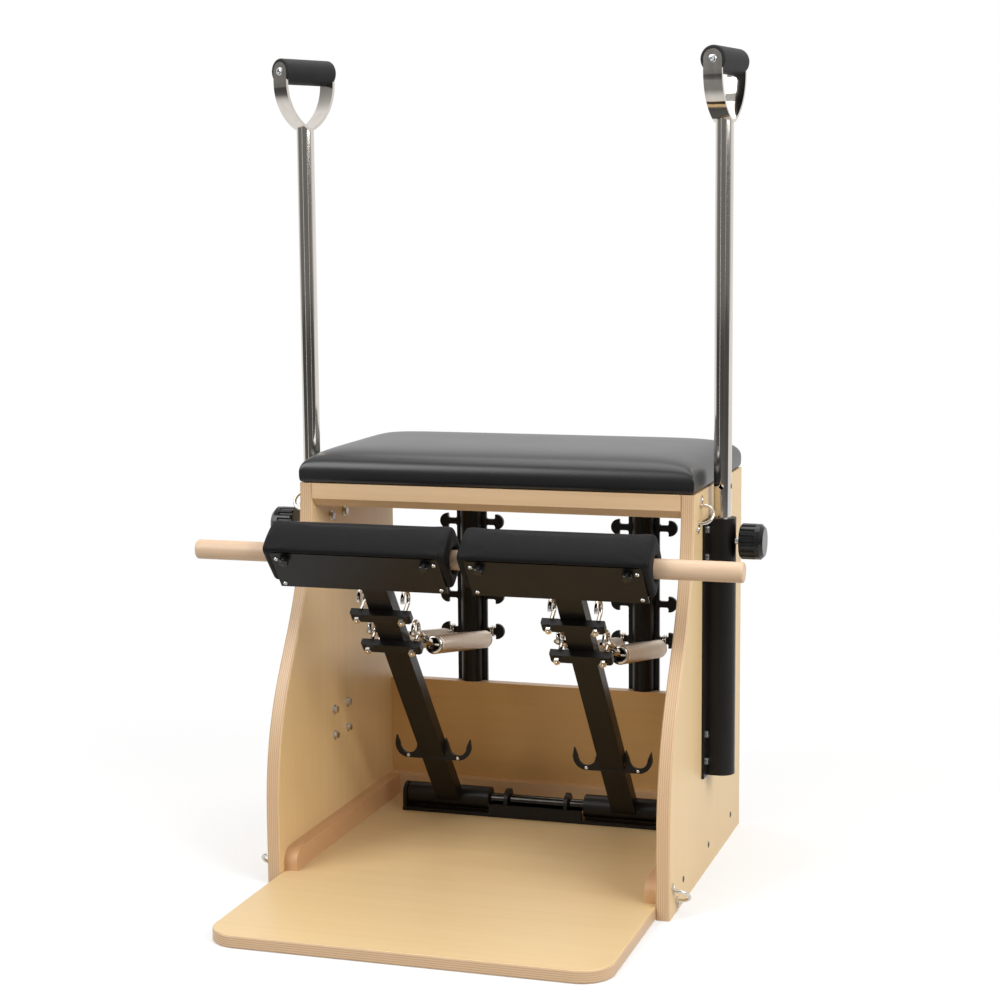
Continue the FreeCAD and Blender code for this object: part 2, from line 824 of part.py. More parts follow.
def coil_path():
    """Three-point arcs of one unbroken spring: axial lead, bend, helix, bend, axial lead."""
    rear, front = coil_start, coil_end
    lead = 2.0 * wire_radius
    start_z = rear + lead + coil_end_bend
    end_z = front - lead - coil_end_bend
    pitch = (end_z - start_z) / coil_turns
    slope = pitch / (2.0 * math.pi * coil_radius)
    length = math.hypot(1.0, slope)

    def point(turn):
        a = 2.0 * math.pi * turn
        return Vector(coil_radius * math.cos(a), coil_radius * math.sin(a), start_z + pitch * turn)

    def direction(turn):
        a = 2.0 * math.pi * turn
        return Vector(-math.sin(a), math.cos(a), slope) * (1.0 / length)

    up = Vector(0, 0, 1)
    arcs = []
    half_turns = 2 * coil_turns
    for step in range(half_turns):
        here, there = step / 2.0, (step + 1) / 2.0
        first, second = biarc(point(here), direction(here), point(there), direction(there))
        arcs.append(first)
        arcs.append((second[2], second[1], second[0]))
    first_t = direction(0.0)
    last_t = direction(float(coil_turns))
    sideways = coil_end_bend * (1.0 - slope / length)
    along = coil_end_bend / length
    flat_first = Vector(first_t.x, first_t.y, 0) * length
    flat_last = Vector(last_t.x, last_t.y, 0) * length
    entry = point(0.0) - flat_first * sideways - up * along
    leave = point(float(coil_turns)) + flat_last * sideways + up * along
    entry_arc = arc_from(point(0.0), first_t * -1.0, entry)
    leave_arc = arc_from(point(float(coil_turns)), last_t, leave)
    arcs.insert(0, (entry_arc[2], entry_arc[1], entry_arc[0]))
    arcs.append(leave_arc)
    return arcs, Vector(entry.x, entry.y, rear), Vector(leave.x, leave.y, front)


def least_gap(arcs):
    """Least clear distance between parts of the wire that are more than half a turn apart."""
    points = []
    for p, m, q in arcs:
        curve = Part.Arc(p, m, q)
        first, last = curve.FirstParameter, curve.LastParameter
        for step in range(4):
            points.append(curve.value(first + (last - first) * step / 4.0))
    least = None
    apart = 12
    for i, p in enumerate(points):
        for q in points[i + apart:i + 4 * apart]:
            gap = p.distanceToPoint(q) - 2.0 * wire_radius
            if least is None or gap < least:
                least = gap
    return least


def spring_coil():
    arcs, start, end = coil_path()
    edges = [line(start, arcs[0][0])]
    for p, m, q in arcs:
        edges.append(arc(p, m, q))
    edges.append(line(arcs[-1][2], end))
    path = Part.Wire(edges)
    section = Part.Wire(Part.makeCircle(wire_radius, start, Vector(0, 0, 1)))
    coil = path.makePipeShell([section], True, False)
    coil.translate(Vector(0, -coil_drop, 0))
    expected = math.pi * wire_radius ** 2 * path.Length
    print("coil volume", round(coil.Volume, 1), "of", round(expected, 1))
    print("least gap between turns", round(least_gap(arcs), 2))
    return coil


def spring_eye():
    """Double eye round the neck of a post hook, its stem, and the cup that closes the coil."""
    shapes = []
    for x in (-eye_spacing / 2.0, eye_spacing / 2.0):
        shapes.append(Part.makeTorus(eye_radius, eye_wire_radius, Vector(x, 0, 0), Vector(1, 0, 0)))
    rear = coil_start - cup_depth
    cup = rod(coil_reach, Vector(0, -coil_drop, rear), Vector(0, -coil_drop, coil_start))
    rim = [e for e in cup.Edges if e.BoundBox.ZMax < rear + 0.01]
    shapes.append(cup.makeFillet(cup_round, rim))
    middle = Vector(0, -coil_drop, coil_start - cup_depth / 2.0)
    outward = Vector(middle)
    outward.normalize()
    shapes.append(rod(stem_radius, outward * eye_radius, middle))
    return fuse(shapes)


def spring_ring():
    """Collar on the coil's open front, with the snap hook whose ring sits in a pedal loop."""
    centre = Vector(0, -coil_drop, coil_end + collar_thickness / 2.0)
    collar_inner = coil_reach - collar_wall
    collar = pipe(
        coil_reach, collar_inner,
        Vector(0, -coil_drop, coil_end), Vector(0, -coil_drop, coil_end + collar_thickness))
    front = [e for e in collar.Edges if e.BoundBox.ZMin > centre.z]
    lip = [e for e in front if e.BoundBox.XLength > 2.0 * coil_reach - 0.1]
    collar = collar.makeFillet(collar_round, lip)
    bar_reach = Vector(collar_inner + collar_wall / 2.0, 0, 0)
    bar = rod(collar_bar_radius, centre - bar_reach, centre + bar_reach)
    reach = ring_place() - centre
    length = reach.Length
    w = ring_half_width
    back_z = length - ring_length
    corner = w * math.sqrt(0.5)
    low, high = back_z + w, length - w
    path = Part.Wire([
        arc(Vector(-w, 0, high), Vector(-corner, 0, high + corner), Vector(0, 0, length)),
        arc(Vector(0, 0, length), Vector(corner, 0, high + corner), Vector(w, 0, high)),
        line(Vector(w, 0, high), Vector(w, 0, low)),
        arc(Vector(w, 0, low), Vector(corner, 0, low - corner), Vector(0, 0, back_z)),
        arc(Vector(0, 0, back_z), Vector(-corner, 0, low - corner), Vector(-w, 0, low)),
        line(Vector(-w, 0, low), Vector(-w, 0, high)),
    ])
    section = Part.Wire(Part.makeCircle(ring_wire_radius, Vector(-w, 0, high), Vector(0, 0, 1)))
    ring = path.makePipeShell([section], True, False)
    stem = rod(stem_radius, Vector(0, 0, 0), Vector(0, 0, back_z))
    swivel_z = (back_z - swivel_length) / 2.0
    swivel = rod(swivel_radius, Vector(0, 0, swivel_z), Vector(0, 0, swivel_z + swivel_length))
    hook = fuse([ring, stem, swivel])
    hook.rotate(Vector(0, 0, 0), Vector(1, 0, 0), -math.degrees(math.atan2(reach.y, reach.z)))
    hook.translate(centre)
    return fuse([collar, bar, hook])


# Hand poles

def pole_holder():
    """Right holder: a tube on a flat flange, bored for the clamp stud and the bolts."""
    low = holder_foot_z
    high = holder_foot_z + holder_length
    half_flange = flange_width / 2.0
    face = half_width + flange_thickness
    flange = box(half_width, face, pole_y - half_flange, pole_y + half_flange, low, high)
    web = box(half_width, pole_x, pole_y - holder_radius, pole_y + holder_radius, low, high)
    tube = rod(holder_radius, Vector(pole_x, pole_y, low), Vector(pole_x, pole_y, high))
    holder = fuse([flange, web, tube])
    bore = pole_radius + pole_clearance
    holder = holder.cut(rod(bore, Vector(pole_x, pole_y, low - 1), Vector(pole_x, pole_y, high + 1)))
    z = holder_foot_z + clamp_height
    outside = Vector(pole_x + 2.0 * holder_radius, pole_y, z)
    holder = holder.cut(rod(stud_radius + stud_clearance, Vector(pole_x, pole_y, z), outside))
    for y, hole_z in bolt_points():
        start = Vector(half_width - 1, y, hole_z)
        end = Vector(face + 1, y, hole_z)
        holder = holder.cut(rod(bolt_radius + bolt_clearance, start, end))
    return holder


def holder_bolts():
    """Through bolts with round heads outside and washers with nuts inside, both sides."""
    bolts = []
    for y, z in bolt_points():
        face = half_width + flange_thickness
        head = rod(bolt_head_radius, Vector(face, y, z), Vector(face + bolt_head_height, y, z))
        shank = rod(bolt_radius, Vector(inner_x - washer_height - bolt_nut_height, y, z), Vector(face, y, z))
        washer = rod(washer_radius, Vector(inner_x - washer_height, y, z), Vector(inner_x, y, z))
        corners = []
        for corner in range(6):
            a = math.radians(60.0 * corner)
            dy, dz = bolt_head_radius * math.cos(a), bolt_head_radius * math.sin(a)
            corners.append(Vector(inner_x - washer_height - bolt_nut_height, y + dy, z + dz))
        nut = outline(corners).extrude(Vector(bolt_nut_height, 0, 0))
        bolt = fuse([head, shank, washer, nut])
        bolts.append(bolt)
        bolts.append(mirrored(bolt))
    return Part.makeCompound(bolts)


def pole():
    """Chrome pole of tube with crossed pin holes, its top shaped to the handle's strap."""
    top = handle_foot_z + 2.0 * strap_thickness
    tube = pipe(
        pole_radius, pole_radius - pole_wall,
        Vector(pole_x, pole_y, pole_foot_z), Vector(pole_x, pole_y, top))
    for axis in (Vector(1, 0, 0), Vector(0, 1, 0)):
        centre = Vector(pole_x, pole_y, pole_hole_z)
        across = axis * 2.0 * pole_radius
        tube = tube.cut(rod(pole_hole_radius, centre - across, centre + across))
    return tube


def pole_glide():
    """Plug at the foot of a pole, on which the pole turns."""
    foot = Vector(pole_x, pole_y, pole_foot_z - glide_height)
    seat = Vector(pole_x, pole_y, pole_foot_z - pole_clearance)
    collar = rod(pole_radius, foot, seat)
    spigot_radius = pole_radius - pole_wall - pole_clearance
    spigot = rod(spigot_radius, seat, Vector(pole_x, pole_y, pole_foot_z + glide_spigot))
    return fuse([collar, spigot])


def bend_point(side, inset, angle):
    """Point on the long bend of the strap's left or right leg, the angle from where the bend starts."""
    r = strap_side_radius - inset
    x = bend_centre_x + r * math.cos(angle)
    return Vector(side * x, 0, handle_foot_z + bend_rise - r * math.sin(angle))


def strap_block(inset, half_depth):
    """Solid inside the strap's outline: straight legs, long bends, and a small bend over the pole."""
    half = handle_half_length - inset
    grip_z = handle_foot_z + grip_rise
    foot = Vector(0, 0, handle_foot_z + inset)
    left = [bend_point(-1, inset, bend_angle * share) for share in (0.0, 0.5, 1.0)]
    right = [bend_point(1, inset, bend_angle * share) for share in (0.0, 0.5, 1.0)]
    wire = Part.Wire([
        line(Vector(-half, 0, grip_z), left[0]),
        arc(left[0], left[1], left[2]),
        arc(left[2], foot, right[2]),
        arc(right[2], right[1], right[0]),
        line(right[0], Vector(half, 0, grip_z)),
        line(Vector(half, 0, grip_z), Vector(-half, 0, grip_z)),
    ])
    wire.translate(Vector(0, -half_depth, 0))
    return Part.Face(wire).extrude(Vector(0, 2.0 * half_depth, 0))


def handle_strap():
    """Flat strap bent to a narrow U over the pole, its ends rounded round the grip's axis."""
    grip_z = handle_foot_z + grip_rise
    half = strap_width / 2.0
    shapes = [strap_block(0.0, half).cut(strap_block(strap_thickness, strap_width))]
    for x0 in (-handle_half_length, handle_half_length - strap_thickness):
        shapes.append(rod(half, Vector(x0, 0, grip_z), Vector(x0 + strap_thickness, 0, grip_z)))
    return fuse(shapes)


def handle_grip():
    """Turned grip with rounded shoulders, pocketed at both ends for the strap's rounded ends."""
    half = handle_half_length
    grip_z = handle_foot_z + grip_rise
    grip = rod(grip_radius, Vector(-half, 0, grip_z), Vector(half, 0, grip_z))
    grip = grip.makeFillet(grip_round, [e for e in grip.Edges if e.BoundBox.XLength < 0.01])
    pocket = strap_width / 2.0 + grip_end_gap
    depth = strap_thickness + grip_end_gap
    for x0 in (-half - 1.0, half - depth):
        x1 = x0 + depth + 1.0
        grip = grip.cut(rod(pocket, Vector(x0, 0, grip_z), Vector(x1, 0, grip_z)))
        grip = grip.cut(box(x0, x1, -pocket, pocket, grip_z - grip_radius - 1.0, grip_z))
    return grip


def place_handle(shape, side, turn):
    """Turns a handle that is drawn along X to face front and back, then by its own turn."""
    placed = shape.copy()
    placed.rotate(Vector(0, 0, 0), Vector(0, 0, 1), 90.0 + turn)
    placed.translate(Vector(side * pole_x, pole_y, 0))
    return placed


def clamp_stud():
    z = holder_foot_z + clamp_height
    tip = pole_x + pole_radius + stud_tip_gap
    end = pole_x + holder_radius + knob_gap + knob_socket
    return rod(stud_radius, Vector(tip, pole_y, z), Vector(end, pole_y, z))


def clamp_knob():
    """Fluted knob with a smooth domed cap, socketed on the stud."""
    z = holder_foot_z + clamp_height
    x0 = pole_x + holder_radius + knob_gap
    x1 = x0 + knob_length
    chamfer = knob_dome / 2.0
    points = [
        Vector(x0, 0, 0),
        Vector(x0, knob_radius - chamfer, 0),
        Vector(x0 + chamfer, knob_radius, 0),
        Vector(x1 - knob_dome, knob_radius, 0),
        Vector(x1, knob_radius - knob_dome, 0),
        Vector(x1, 0, 0),
    ]
    knob = outline(points).revolve(Vector(0, 0, 0), Vector(1, 0, 0), 360)
    knob = Part.makeSolid(knob.Shells[0]) if knob.ShapeType != "Solid" else knob
    for index in range(flute_count):
        a = 2.0 * math.pi * index / flute_count
        y, dz = knob_radius * math.cos(a), knob_radius * math.sin(a)
        knob = knob.cut(rod(flute_radius, Vector(x0 - 1, y, dz), Vector(x1 - knob_cap, y, dz)))
    knob = knob.cut(rod(stud_radius, Vector(x0 - 1, 0, 0), Vector(x0 + knob_socket, 0, 0)))
    knob.translate(Vector(0, pole_y, z))
    return knob


# Footman loops

def footman_loop(setback, height, turn):
    """Right-hand loop: a half ring of rod on two legs, with a flat tab outside each leg."""
    r = footman_radius
    foot = footman_tab_thickness
    out = foot + footman_leg
    ring = Part.Wire([arc(Vector(out, 0, -r), Vector(out + r, 0, 0), Vector(out, 0, r))])
    section = Part.Wire(Part.makeCircle(footman_rod, Vector(out, 0, -r), Vector(1, 0, 0)))
    shapes = [ring.makePipeShell([section], True, False)]
    for side in (-1, 1):
        shapes.append(rod(footman_rod, Vector(0, 0, side * r), Vector(out, 0, side * r)))
        z0 = min(side * (r - footman_rod), side * (r + footman_tab_length))
        z1 = max(side * (r - footman_rod), side * (r + footman_tab_length))
        half = footman_tab_width / 2.0
        tab = box(0, foot, -half, half, z0, z1)
        shapes.append(tab)
    loop = fuse(shapes)
    loop.rotate(Vector(0, 0, 0), Vector(1, 0, 0), turn)
    loop.translate(Vector(half_width, rear_y - setback, height))
    return loop


def footman_loops():
    loops = []
    for setback, height, turn in loop_places:
        loop = footman_loop(setback, height, turn)
        loops.append(loop)
        loops.append(mirrored(loop))
    return Part.makeCompound(loops)


def build():
    os.makedirs("parts", exist_ok=True)
    panel = side_panel()
    save("side_panel_right", panel)
    save("side_panel_left", mirrored(panel))
    save("base_board", base_board())
    save("back_panel", box(-inner_x, inner_x, rear_y - back_thickness, rear_y, 0, back_height))
    cleat_back = rear_y - back_thickness
    cleat_front = cleat_back - cleat_width
    cleat_top = base_thickness + cleat_height
    save("rear_base_cleat", box(-inner_x, inner_x, cleat_front, cleat_back, base_thickness, cleat_top))
    cleat = side_cleat()
    save("side_cleat_right", cleat)
    save("side_cleat_left", mirrored(cleat))
    save("front_seat_rail", front_rail())
    save("rear_seat_rail", box(-inner_x, inner_x, rear_y - back_thickness, rear_y, rail_foot_z, panel_height))
    save("seat_board", seat_board())
    save("seat_cushion", seat_cushion())
    save("hinge_base", hinge_base())
    save("pivot_axle", axle_rod(axle_radius, hinge_half_length))
    save("footman_loops", footman_loops())
    save("holder_bolts", holder_bolts())
    save("dowel", dowel())

    post = spring_post()
    loops = spring_loops()
    rest = cradle()
    head = pedal_head()
    plate = pedal_front_plate()
    pad = pedal_pad()
    coil = spring_coil()
    eye = spring_eye()
    ring = spring_ring()
    holder = pole_holder()
    tube = pole()
    glide = pole_glide()
    strap = handle_strap()
    grip = handle_grip()
    stud = clamp_stud()
    knob = clamp_knob()
    strap_bend = strap_block(0.0, strap_width)
    for (name, side), turn in zip(SIDES, handle_turn):
        placed_post = post.copy()
        placed_post.translate(Vector(side * pedal_x, rear_y, 0))
        save("spring_post_" + name, placed_post)
        save("pedal_arm_" + name, place_on_hinge(pedal_arm(side), side))
        save("pivot_bushes_" + name, place_on_hinge(pivot_bushes(side), side))
        save("spring_loops_" + name, place_on_hinge(loops, side))
        save("cradle_" + name, place_on_hinge(rest, side))
        save("pedal_head_" + name, place_on_hinge(head, side))
        save("pedal_front_plate_" + name, place_on_hinge(plate, side))
        save("pedal_pad_" + name, place_on_hinge(pad, side))
        for place, offset in (("outer", side), ("inner", -side)):
            x = side * pedal_x + offset * loop_spread / 2.0
            label = name + "_" + place
            save("spring_coil_" + label, place_spring(coil, x))
            save("spring_eye_" + label, place_spring(eye, x))
            save("spring_ring_" + label, place_spring(ring, x))
        right_hand = (
            ("pole_holder_", holder), ("pole_glide_", glide),
            ("clamp_stud_", stud), ("clamp_knob_", knob),
        )
        for label, shape in right_hand:
            save(label + name, shape if side > 0 else mirrored(shape))
        upright = tube if side > 0 else mirrored(tube)
        save("pole_" + name, upright.cut(place_handle(strap_bend, side, turn)))
        save("handle_strap_" + name, place_handle(strap, side, turn))
        save("handle_grip_" + name, place_handle(grip, side, turn))


build()
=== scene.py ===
import json
import math

import bmesh
import bpy
from mathutils import Matrix, Vector
from mathutils.bvhtree import BVHTree
from mathutils.geometry import convex_hull_2d

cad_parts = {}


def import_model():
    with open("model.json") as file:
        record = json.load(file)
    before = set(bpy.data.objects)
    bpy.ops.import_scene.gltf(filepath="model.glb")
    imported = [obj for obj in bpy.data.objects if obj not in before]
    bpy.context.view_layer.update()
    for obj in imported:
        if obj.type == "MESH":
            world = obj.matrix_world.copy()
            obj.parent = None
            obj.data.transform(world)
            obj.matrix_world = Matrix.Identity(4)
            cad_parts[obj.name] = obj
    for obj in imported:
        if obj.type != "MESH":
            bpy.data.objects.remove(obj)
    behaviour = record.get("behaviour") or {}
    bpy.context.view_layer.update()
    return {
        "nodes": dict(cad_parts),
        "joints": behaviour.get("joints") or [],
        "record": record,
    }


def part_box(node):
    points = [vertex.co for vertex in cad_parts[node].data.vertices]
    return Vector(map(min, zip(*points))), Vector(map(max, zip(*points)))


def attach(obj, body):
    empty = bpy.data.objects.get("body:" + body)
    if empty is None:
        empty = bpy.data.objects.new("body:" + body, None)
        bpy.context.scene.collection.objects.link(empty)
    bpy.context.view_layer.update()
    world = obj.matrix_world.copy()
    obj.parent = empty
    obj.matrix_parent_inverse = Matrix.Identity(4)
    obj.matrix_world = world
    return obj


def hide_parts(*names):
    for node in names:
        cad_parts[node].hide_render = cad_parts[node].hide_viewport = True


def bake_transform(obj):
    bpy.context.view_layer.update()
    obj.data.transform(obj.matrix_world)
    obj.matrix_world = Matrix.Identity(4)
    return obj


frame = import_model()

NODES = frame["nodes"]
JOINTS = {joint["name"]: joint for joint in frame["joints"]}
SIDES = ("left", "right")
PLACES = ("outer", "inner")
MM = 0.001

# Camera, solved from the photograph
CAMERA_PLACE = Vector((0.931, -2.881, 0.9755))
CAMERA_YAW = 0.3054
CAMERA_PITCH = 0.1365
CAMERA_ROLL = -0.0085
CAMERA_LENS = 76.66
CAMERA_SENSOR = 36.0

# Pedal's front plate in the arm's own frame: origin on the hinge, Z along the arm, -Y the front face
ARM_LEAN = math.radians(38.6)
PLATE_FACE = -43.0 * MM
PLATE_HALF = 125.5 * MM
PLATE_FOOT = 545.0 * MM
PLATE_TOP = 615.0 * MM
PLATE_SCREW_INSET = 8.0 * MM
PLATE_SCREW_HEIGHTS = (PLATE_FOOT + 7.0 * MM, PLATE_TOP - 12.0 * MM)
THUMB_KNOB_STEP = 13.0 * MM
THUMB_KNOB_HEIGHT = PLATE_TOP - 11.0 * MM
THUMB_KNOB_RADIUS = 7.5 * MM
THUMB_KNOB_PROFILE = (
    (0.0, -0.2 * MM), (0.55, -0.2 * MM), (0.55, 2.5 * MM), (1.0, 2.5 * MM), (1.0, 8.5 * MM),
    (0.85, 10.0 * MM), (0.0, 10.4 * MM))
THUMB_KNOB_STEPS = 36
THUMB_KNOB_LOBE = 6
THUMB_KNOB_RIDGE = 4
THUMB_KNOB_GROOVE = 0.74

# Springs
COIL_START = 48.0 * MM
COIL_LENGTH = 243.0 * MM
COIL_DROP = 11.6 * MM
COIL_RADIUS = 13.0 * MM
WIRE_RADIUS = 1.5 * MM
WIRE_SQUARENESS = 0.6
COIL_STEPS = 28
WIRE_SIDES = 8

# Texture
PLY_THICKNESS = 3.0 * MM
STUD_PITCH = 4.2 * MM

# Handles
HANDLE_TURN = {"left": math.radians(-25.0), "right": math.radians(-9.5)}
HANDLE_HALF = 49.0 * MM

# Studio: the floor's glow to the camera, where the floor turns plain white, and how bright the room is
FLOOR_LIFT = 0.45
FLOOR_FADE = (0.7, 1.5)
FLOOR_TURN = (-1.0, 0.2)
FLOOR_TONES = (0.52, 0.2)
SKY_TURN = (-0.3, 0.45)
SKY_TOP = 0.6
SKY_FRONT = 0.2
SKY_LIGHT = 0.5

# Cradles, in the arm's frame
CRADLE_HEIGHT = 134.5 * MM
CRADLE_FRONT = 2.6 * MM
CRADLE_SPREAD = 81.0 * MM
CRADLE_MIDDLE_RADIUS = 17.9 * MM
CRADLE_THICKNESS = 6.0 * MM

# Screws on the side panels: setbacks from the panels' rear, and each strap loop's setback, height and turn
PANEL_SCREW_SETBACKS = (71.0 * MM, 236.0 * MM, 407.0 * MM)
PANEL_SCREW_HEIGHT = 34.0 * MM
STRAP_LOOPS = ((313.0 * MM, 541.0 * MM, -33.0), (460.0 * MM, 27.0 * MM, 46.0))
STRAP_LOOP_HALF = 23.0 * MM
STRAP_LOOP_TAB = 2.5 * MM

# Cushion and pads
CUSHION_SIDE = 16.0 * MM
CUSHION_RISE = 35.0 * MM
CUSHION_SHOULDER = 42.0 * MM
CUSHION_CROWN_REACH = 150.0 * MM
CUSHION_FULLNESS = 4.0
CUSHION_MITRE = 3.0
CUSHION_SHOULDER_STEPS = 10
CUSHION_LINE_STEP = 8.0 * MM
CUSHION_TUCK = 1.5 * MM
CUSHION_POCKET = 13.7 * MM
CUSHION_POCKET_DEPTH = 12.0 * MM
CUSHION_SIDE_STEPS = (
    (0.0, 0.75), (0.0, 0.45), (0.6 * MM, 0.2), (CUSHION_TUCK, 0.0), (CUSHION_POCKET, 0.0),
    (CUSHION_POCKET, CUSHION_POCKET_DEPTH / CUSHION_SIDE))
CUSHION_HELD = 0.3 * CUSHION_SIDE
CUSHION_PRESSURE = 2.0
CUSHION_SLACK = 0.97
CUSHION_CAP = 1.5 * MM
PAD_VOXEL = 2.6 * MM
PAD_CAP = 1.6 * MM
PAD_HELD = 2.4 * MM
PAD_PRESSURE = 3.0
COVER_STEPS = 72
COVER_HOLE = 18.0 * MM
COVER_PROFILE = (
    (0.985, -7.0 * MM), (0.985, -1.5 * MM), (0.965, 2.0 * MM), (0.9, 4.6 * MM), (0.78, 5.5 * MM),
    (0.12, 5.5 * MM), (0.03, 4.4 * MM), (0.0, 2.0 * MM), (0.0, -7.0 * MM))
CLOTH_FRAMES = 20
CLOTH_STIFFNESS = 25.0
RELAX_SHARE = 0.5
RELAX_ROUNDS = 3


# Materials

class Tree:
    """A node tree with a short way to add nodes to it."""

    def __init__(self, tree):
        self.tree = tree

    def add(self, kind, inputs=None, **settings):
        node = self.tree.nodes.new(kind)
        for key, value in settings.items():
            setattr(node, key, value)
        for key, value in (inputs or {}).items():
            self.feed(node.inputs[key], value)
        return node

    def feed(self, socket, value):
        if isinstance(value, bpy.types.NodeSocket):
            self.tree.links.new(value, socket)
        else:
            socket.default_value = value

    def math(self, operation, first, second=0.0):
        return self.add("ShaderNodeMath", {0: first, 1: second}, operation=operation).outputs[0]

    def spread(self, value, low, high, to_low=0.0, to_high=1.0, smooth=False):
        """Maps a value from one range to another, held at the ends."""
        inputs = {"Value": value, "From Min": low, "From Max": high, "To Min": to_low, "To Max": to_high}
        kind = "SMOOTHSTEP" if smooth else "LINEAR"
        return self.add("ShaderNodeMapRange", inputs, interpolation_type=kind).outputs["Result"]

    def seen(self, behind):
        """Where plain white shows: to the camera, through glass, and behind the chair to reflections."""
        path = self.add("ShaderNodeLightPath").outputs
        direct = self.math("MAXIMUM", path["Is Camera Ray"], path["Is Transmission Ray"])
        return self.math("MAXIMUM", direct, self.math("MULTIPLY", path["Is Glossy Ray"], behind))


class Graph(Tree):
    """A material with a Principled shader."""

    def __init__(self, name, **settings):
        self.material = bpy.data.materials.new(name)
        self.material.use_nodes = True
        super().__init__(self.material.node_tree)
        self.shader = self.tree.nodes["Principled BSDF"]
        for socket, value in settings.items():
            self.shader.inputs[socket.replace("_", " ")].default_value = value

    def place(self, scale=(1.0, 1.0, 1.0), turn=(0.0, 0.0, 0.0)):
        """Coordinates of the piece at rest, in metres, stretched and turned."""
        source = self.add("ShaderNodeTexCoord").outputs["Object"]
        mapping = self.add("ShaderNodeMapping", {"Vector": source, "Scale": scale, "Rotation": turn})
        return mapping.outputs["Vector"]

    def noise(self, vector, scale, detail=4.0, roughness=0.55):
        inputs = {"Vector": vector, "Scale": scale, "Detail": detail, "Roughness": roughness}
        return self.add("ShaderNodeTexNoise", inputs).outputs["Fac"]

    def wave(self, value, period):
        """Swings from 0 to 1 and back once in each period of a length."""
        swing = self.math("SINE", self.math("MULTIPLY", value, 2.0 * math.pi / period))
        return self.spread(swing, -1.0, 1.0)

    def ramp(self, factor, *stops):
        node = self.add("ShaderNodeValToRGB", {"Fac": factor})
        elements = node.color_ramp.elements
        while len(elements) < len(stops):
            elements.new(0.5)
        for element, (position, colour) in zip(elements, stops):
            element.position = position
            element.color = (*colour, 1.0)
        return node.outputs["Color"]

    def mix(self, factor, first, second):
        node = self.add("ShaderNodeMix", data_type="RGBA")
        self.feed(node.inputs["Factor"], factor)
        self.feed(node.inputs["A"], first)
        self.feed(node.inputs["B"], second)
        return node.outputs["Result"]

    def colour(self, socket):
        self.feed(self.shader.inputs["Base Color"], socket)

    def roughness(self, factor, low, high):
        self.feed(self.shader.inputs["Roughness"], self.spread(factor, 0.0, 1.0, low, high))

    def bump(self, height, strength, distance):
        node = self.add("ShaderNodeBump", {"Height": height, "Strength": strength, "Distance": distance})
        self.feed(self.shader.inputs["Normal"], node.outputs["Normal"])


def grain_scale(axis, along, across):
    return tuple(along if index == axis else across for index in range(3))


def grain(graph, axis, pale, dark):
    """Wood figure: long streaks along an axis, with slow changes of tone over them."""
    streaks = graph.noise(graph.place(grain_scale(axis, 2.2, 70.0)), 1.0, 6.0, 0.6)
    tone = graph.noise(graph.place(grain_scale(axis, 1.0, 6.0)), 1.0, 2.0)
    both = graph.math("ADD", graph.math("MULTIPLY", streaks, 0.65), graph.math("MULTIPLY", tone, 0.35))
    return graph.ramp(both, (0.36, dark), (0.62, pale)), streaks


def plywood(name, thickness_axis, grain_axis, pale=(0.765, 0.55, 0.285), dark=(0.73, 0.51, 0.25)):
    """Pale veneer on the faces and pink-tan plies with fine glue lines on the edges."""
    graph = Graph(name, Coat_Weight=0.1, Coat_Roughness=0.35)
    face, streaks = grain(graph, grain_axis, pale, dark)
    object_place = graph.add("ShaderNodeTexCoord").outputs["Object"]
    axes = graph.add("ShaderNodeSeparateXYZ", {"Vector": object_place}).outputs
    wave = graph.wave(axes[thickness_axis], PLY_THICKNESS)
    plies = graph.ramp(
        wave, (0.03, (0.50, 0.31, 0.17)), (0.28, (0.60, 0.40, 0.23)), (0.75, (0.66, 0.46, 0.28)))
    normal = graph.add("ShaderNodeNewGeometry").outputs["Normal"]
    facing = graph.add("ShaderNodeSeparateXYZ", {"Vector": normal}).outputs[thickness_axis]
    on_face = graph.math("GREATER_THAN", graph.math("ABSOLUTE", facing), 0.75)
    graph.colour(graph.mix(on_face, plies, face))
    graph.roughness(streaks, 0.36, 0.52)
    return graph.material


def solid_wood(name, axis, pale, dark):
    """Lacquered wood with its grain along an axis."""
    graph = Graph(name, Coat_Weight=0.1, Coat_Roughness=0.4)
    colour, streaks = grain(graph, axis, pale, dark)
    graph.colour(colour)
    graph.roughness(streaks, 0.38, 0.55)
    graph.bump(streaks, 0.04, 0.2 * MM)
    return graph.material


def powder_coat():
    """Satin black coat on the steel, with a fine speckle."""
    graph = Graph("black_powder_coat", Specular_IOR_Level=0.24)
    place = graph.place()
    speckle = graph.noise(place, 900.0, 2.0)
    cloud = graph.noise(place, 14.0, 3.0)
    graph.colour(graph.ramp(cloud, (0.3, (0.005, 0.0042, 0.0036)), (0.7, (0.009, 0.0076, 0.0064))))
    graph.roughness(cloud, 0.3, 0.4)
    graph.bump(speckle, 0.1, 0.12 * MM)
    return graph.material


def polished(name, pale, dark, low, high, stretch):
    """Bare or plated metal with faint polishing marks along Z."""
    graph = Graph(name, Metallic=1.0)
    marks = graph.noise(graph.place((90.0, 90.0, stretch)), 1.0, 3.0)
    graph.colour(graph.ramp(marks, (0.3, dark), (0.7, pale)))
    graph.roughness(marks, low, high)
    return graph.material


def vinyl():
    """Black upholstery vinyl with fine pores."""
    graph = Graph("black_vinyl", Specular_IOR_Level=0.55)
    place = graph.place()
    pores = graph.add("ShaderNodeTexVoronoi", {"Vector": place, "Scale": 520.0}).outputs["Distance"]
    cloud = graph.noise(place, 9.0, 3.0)
    graph.colour(graph.ramp(cloud, (0.3, (0.004, 0.004, 0.0045)), (0.7, (0.007, 0.007, 0.0075))))
    graph.roughness(cloud, 0.3, 0.37)
    graph.bump(pores, 0.06, 0.15 * MM)
    return graph.material


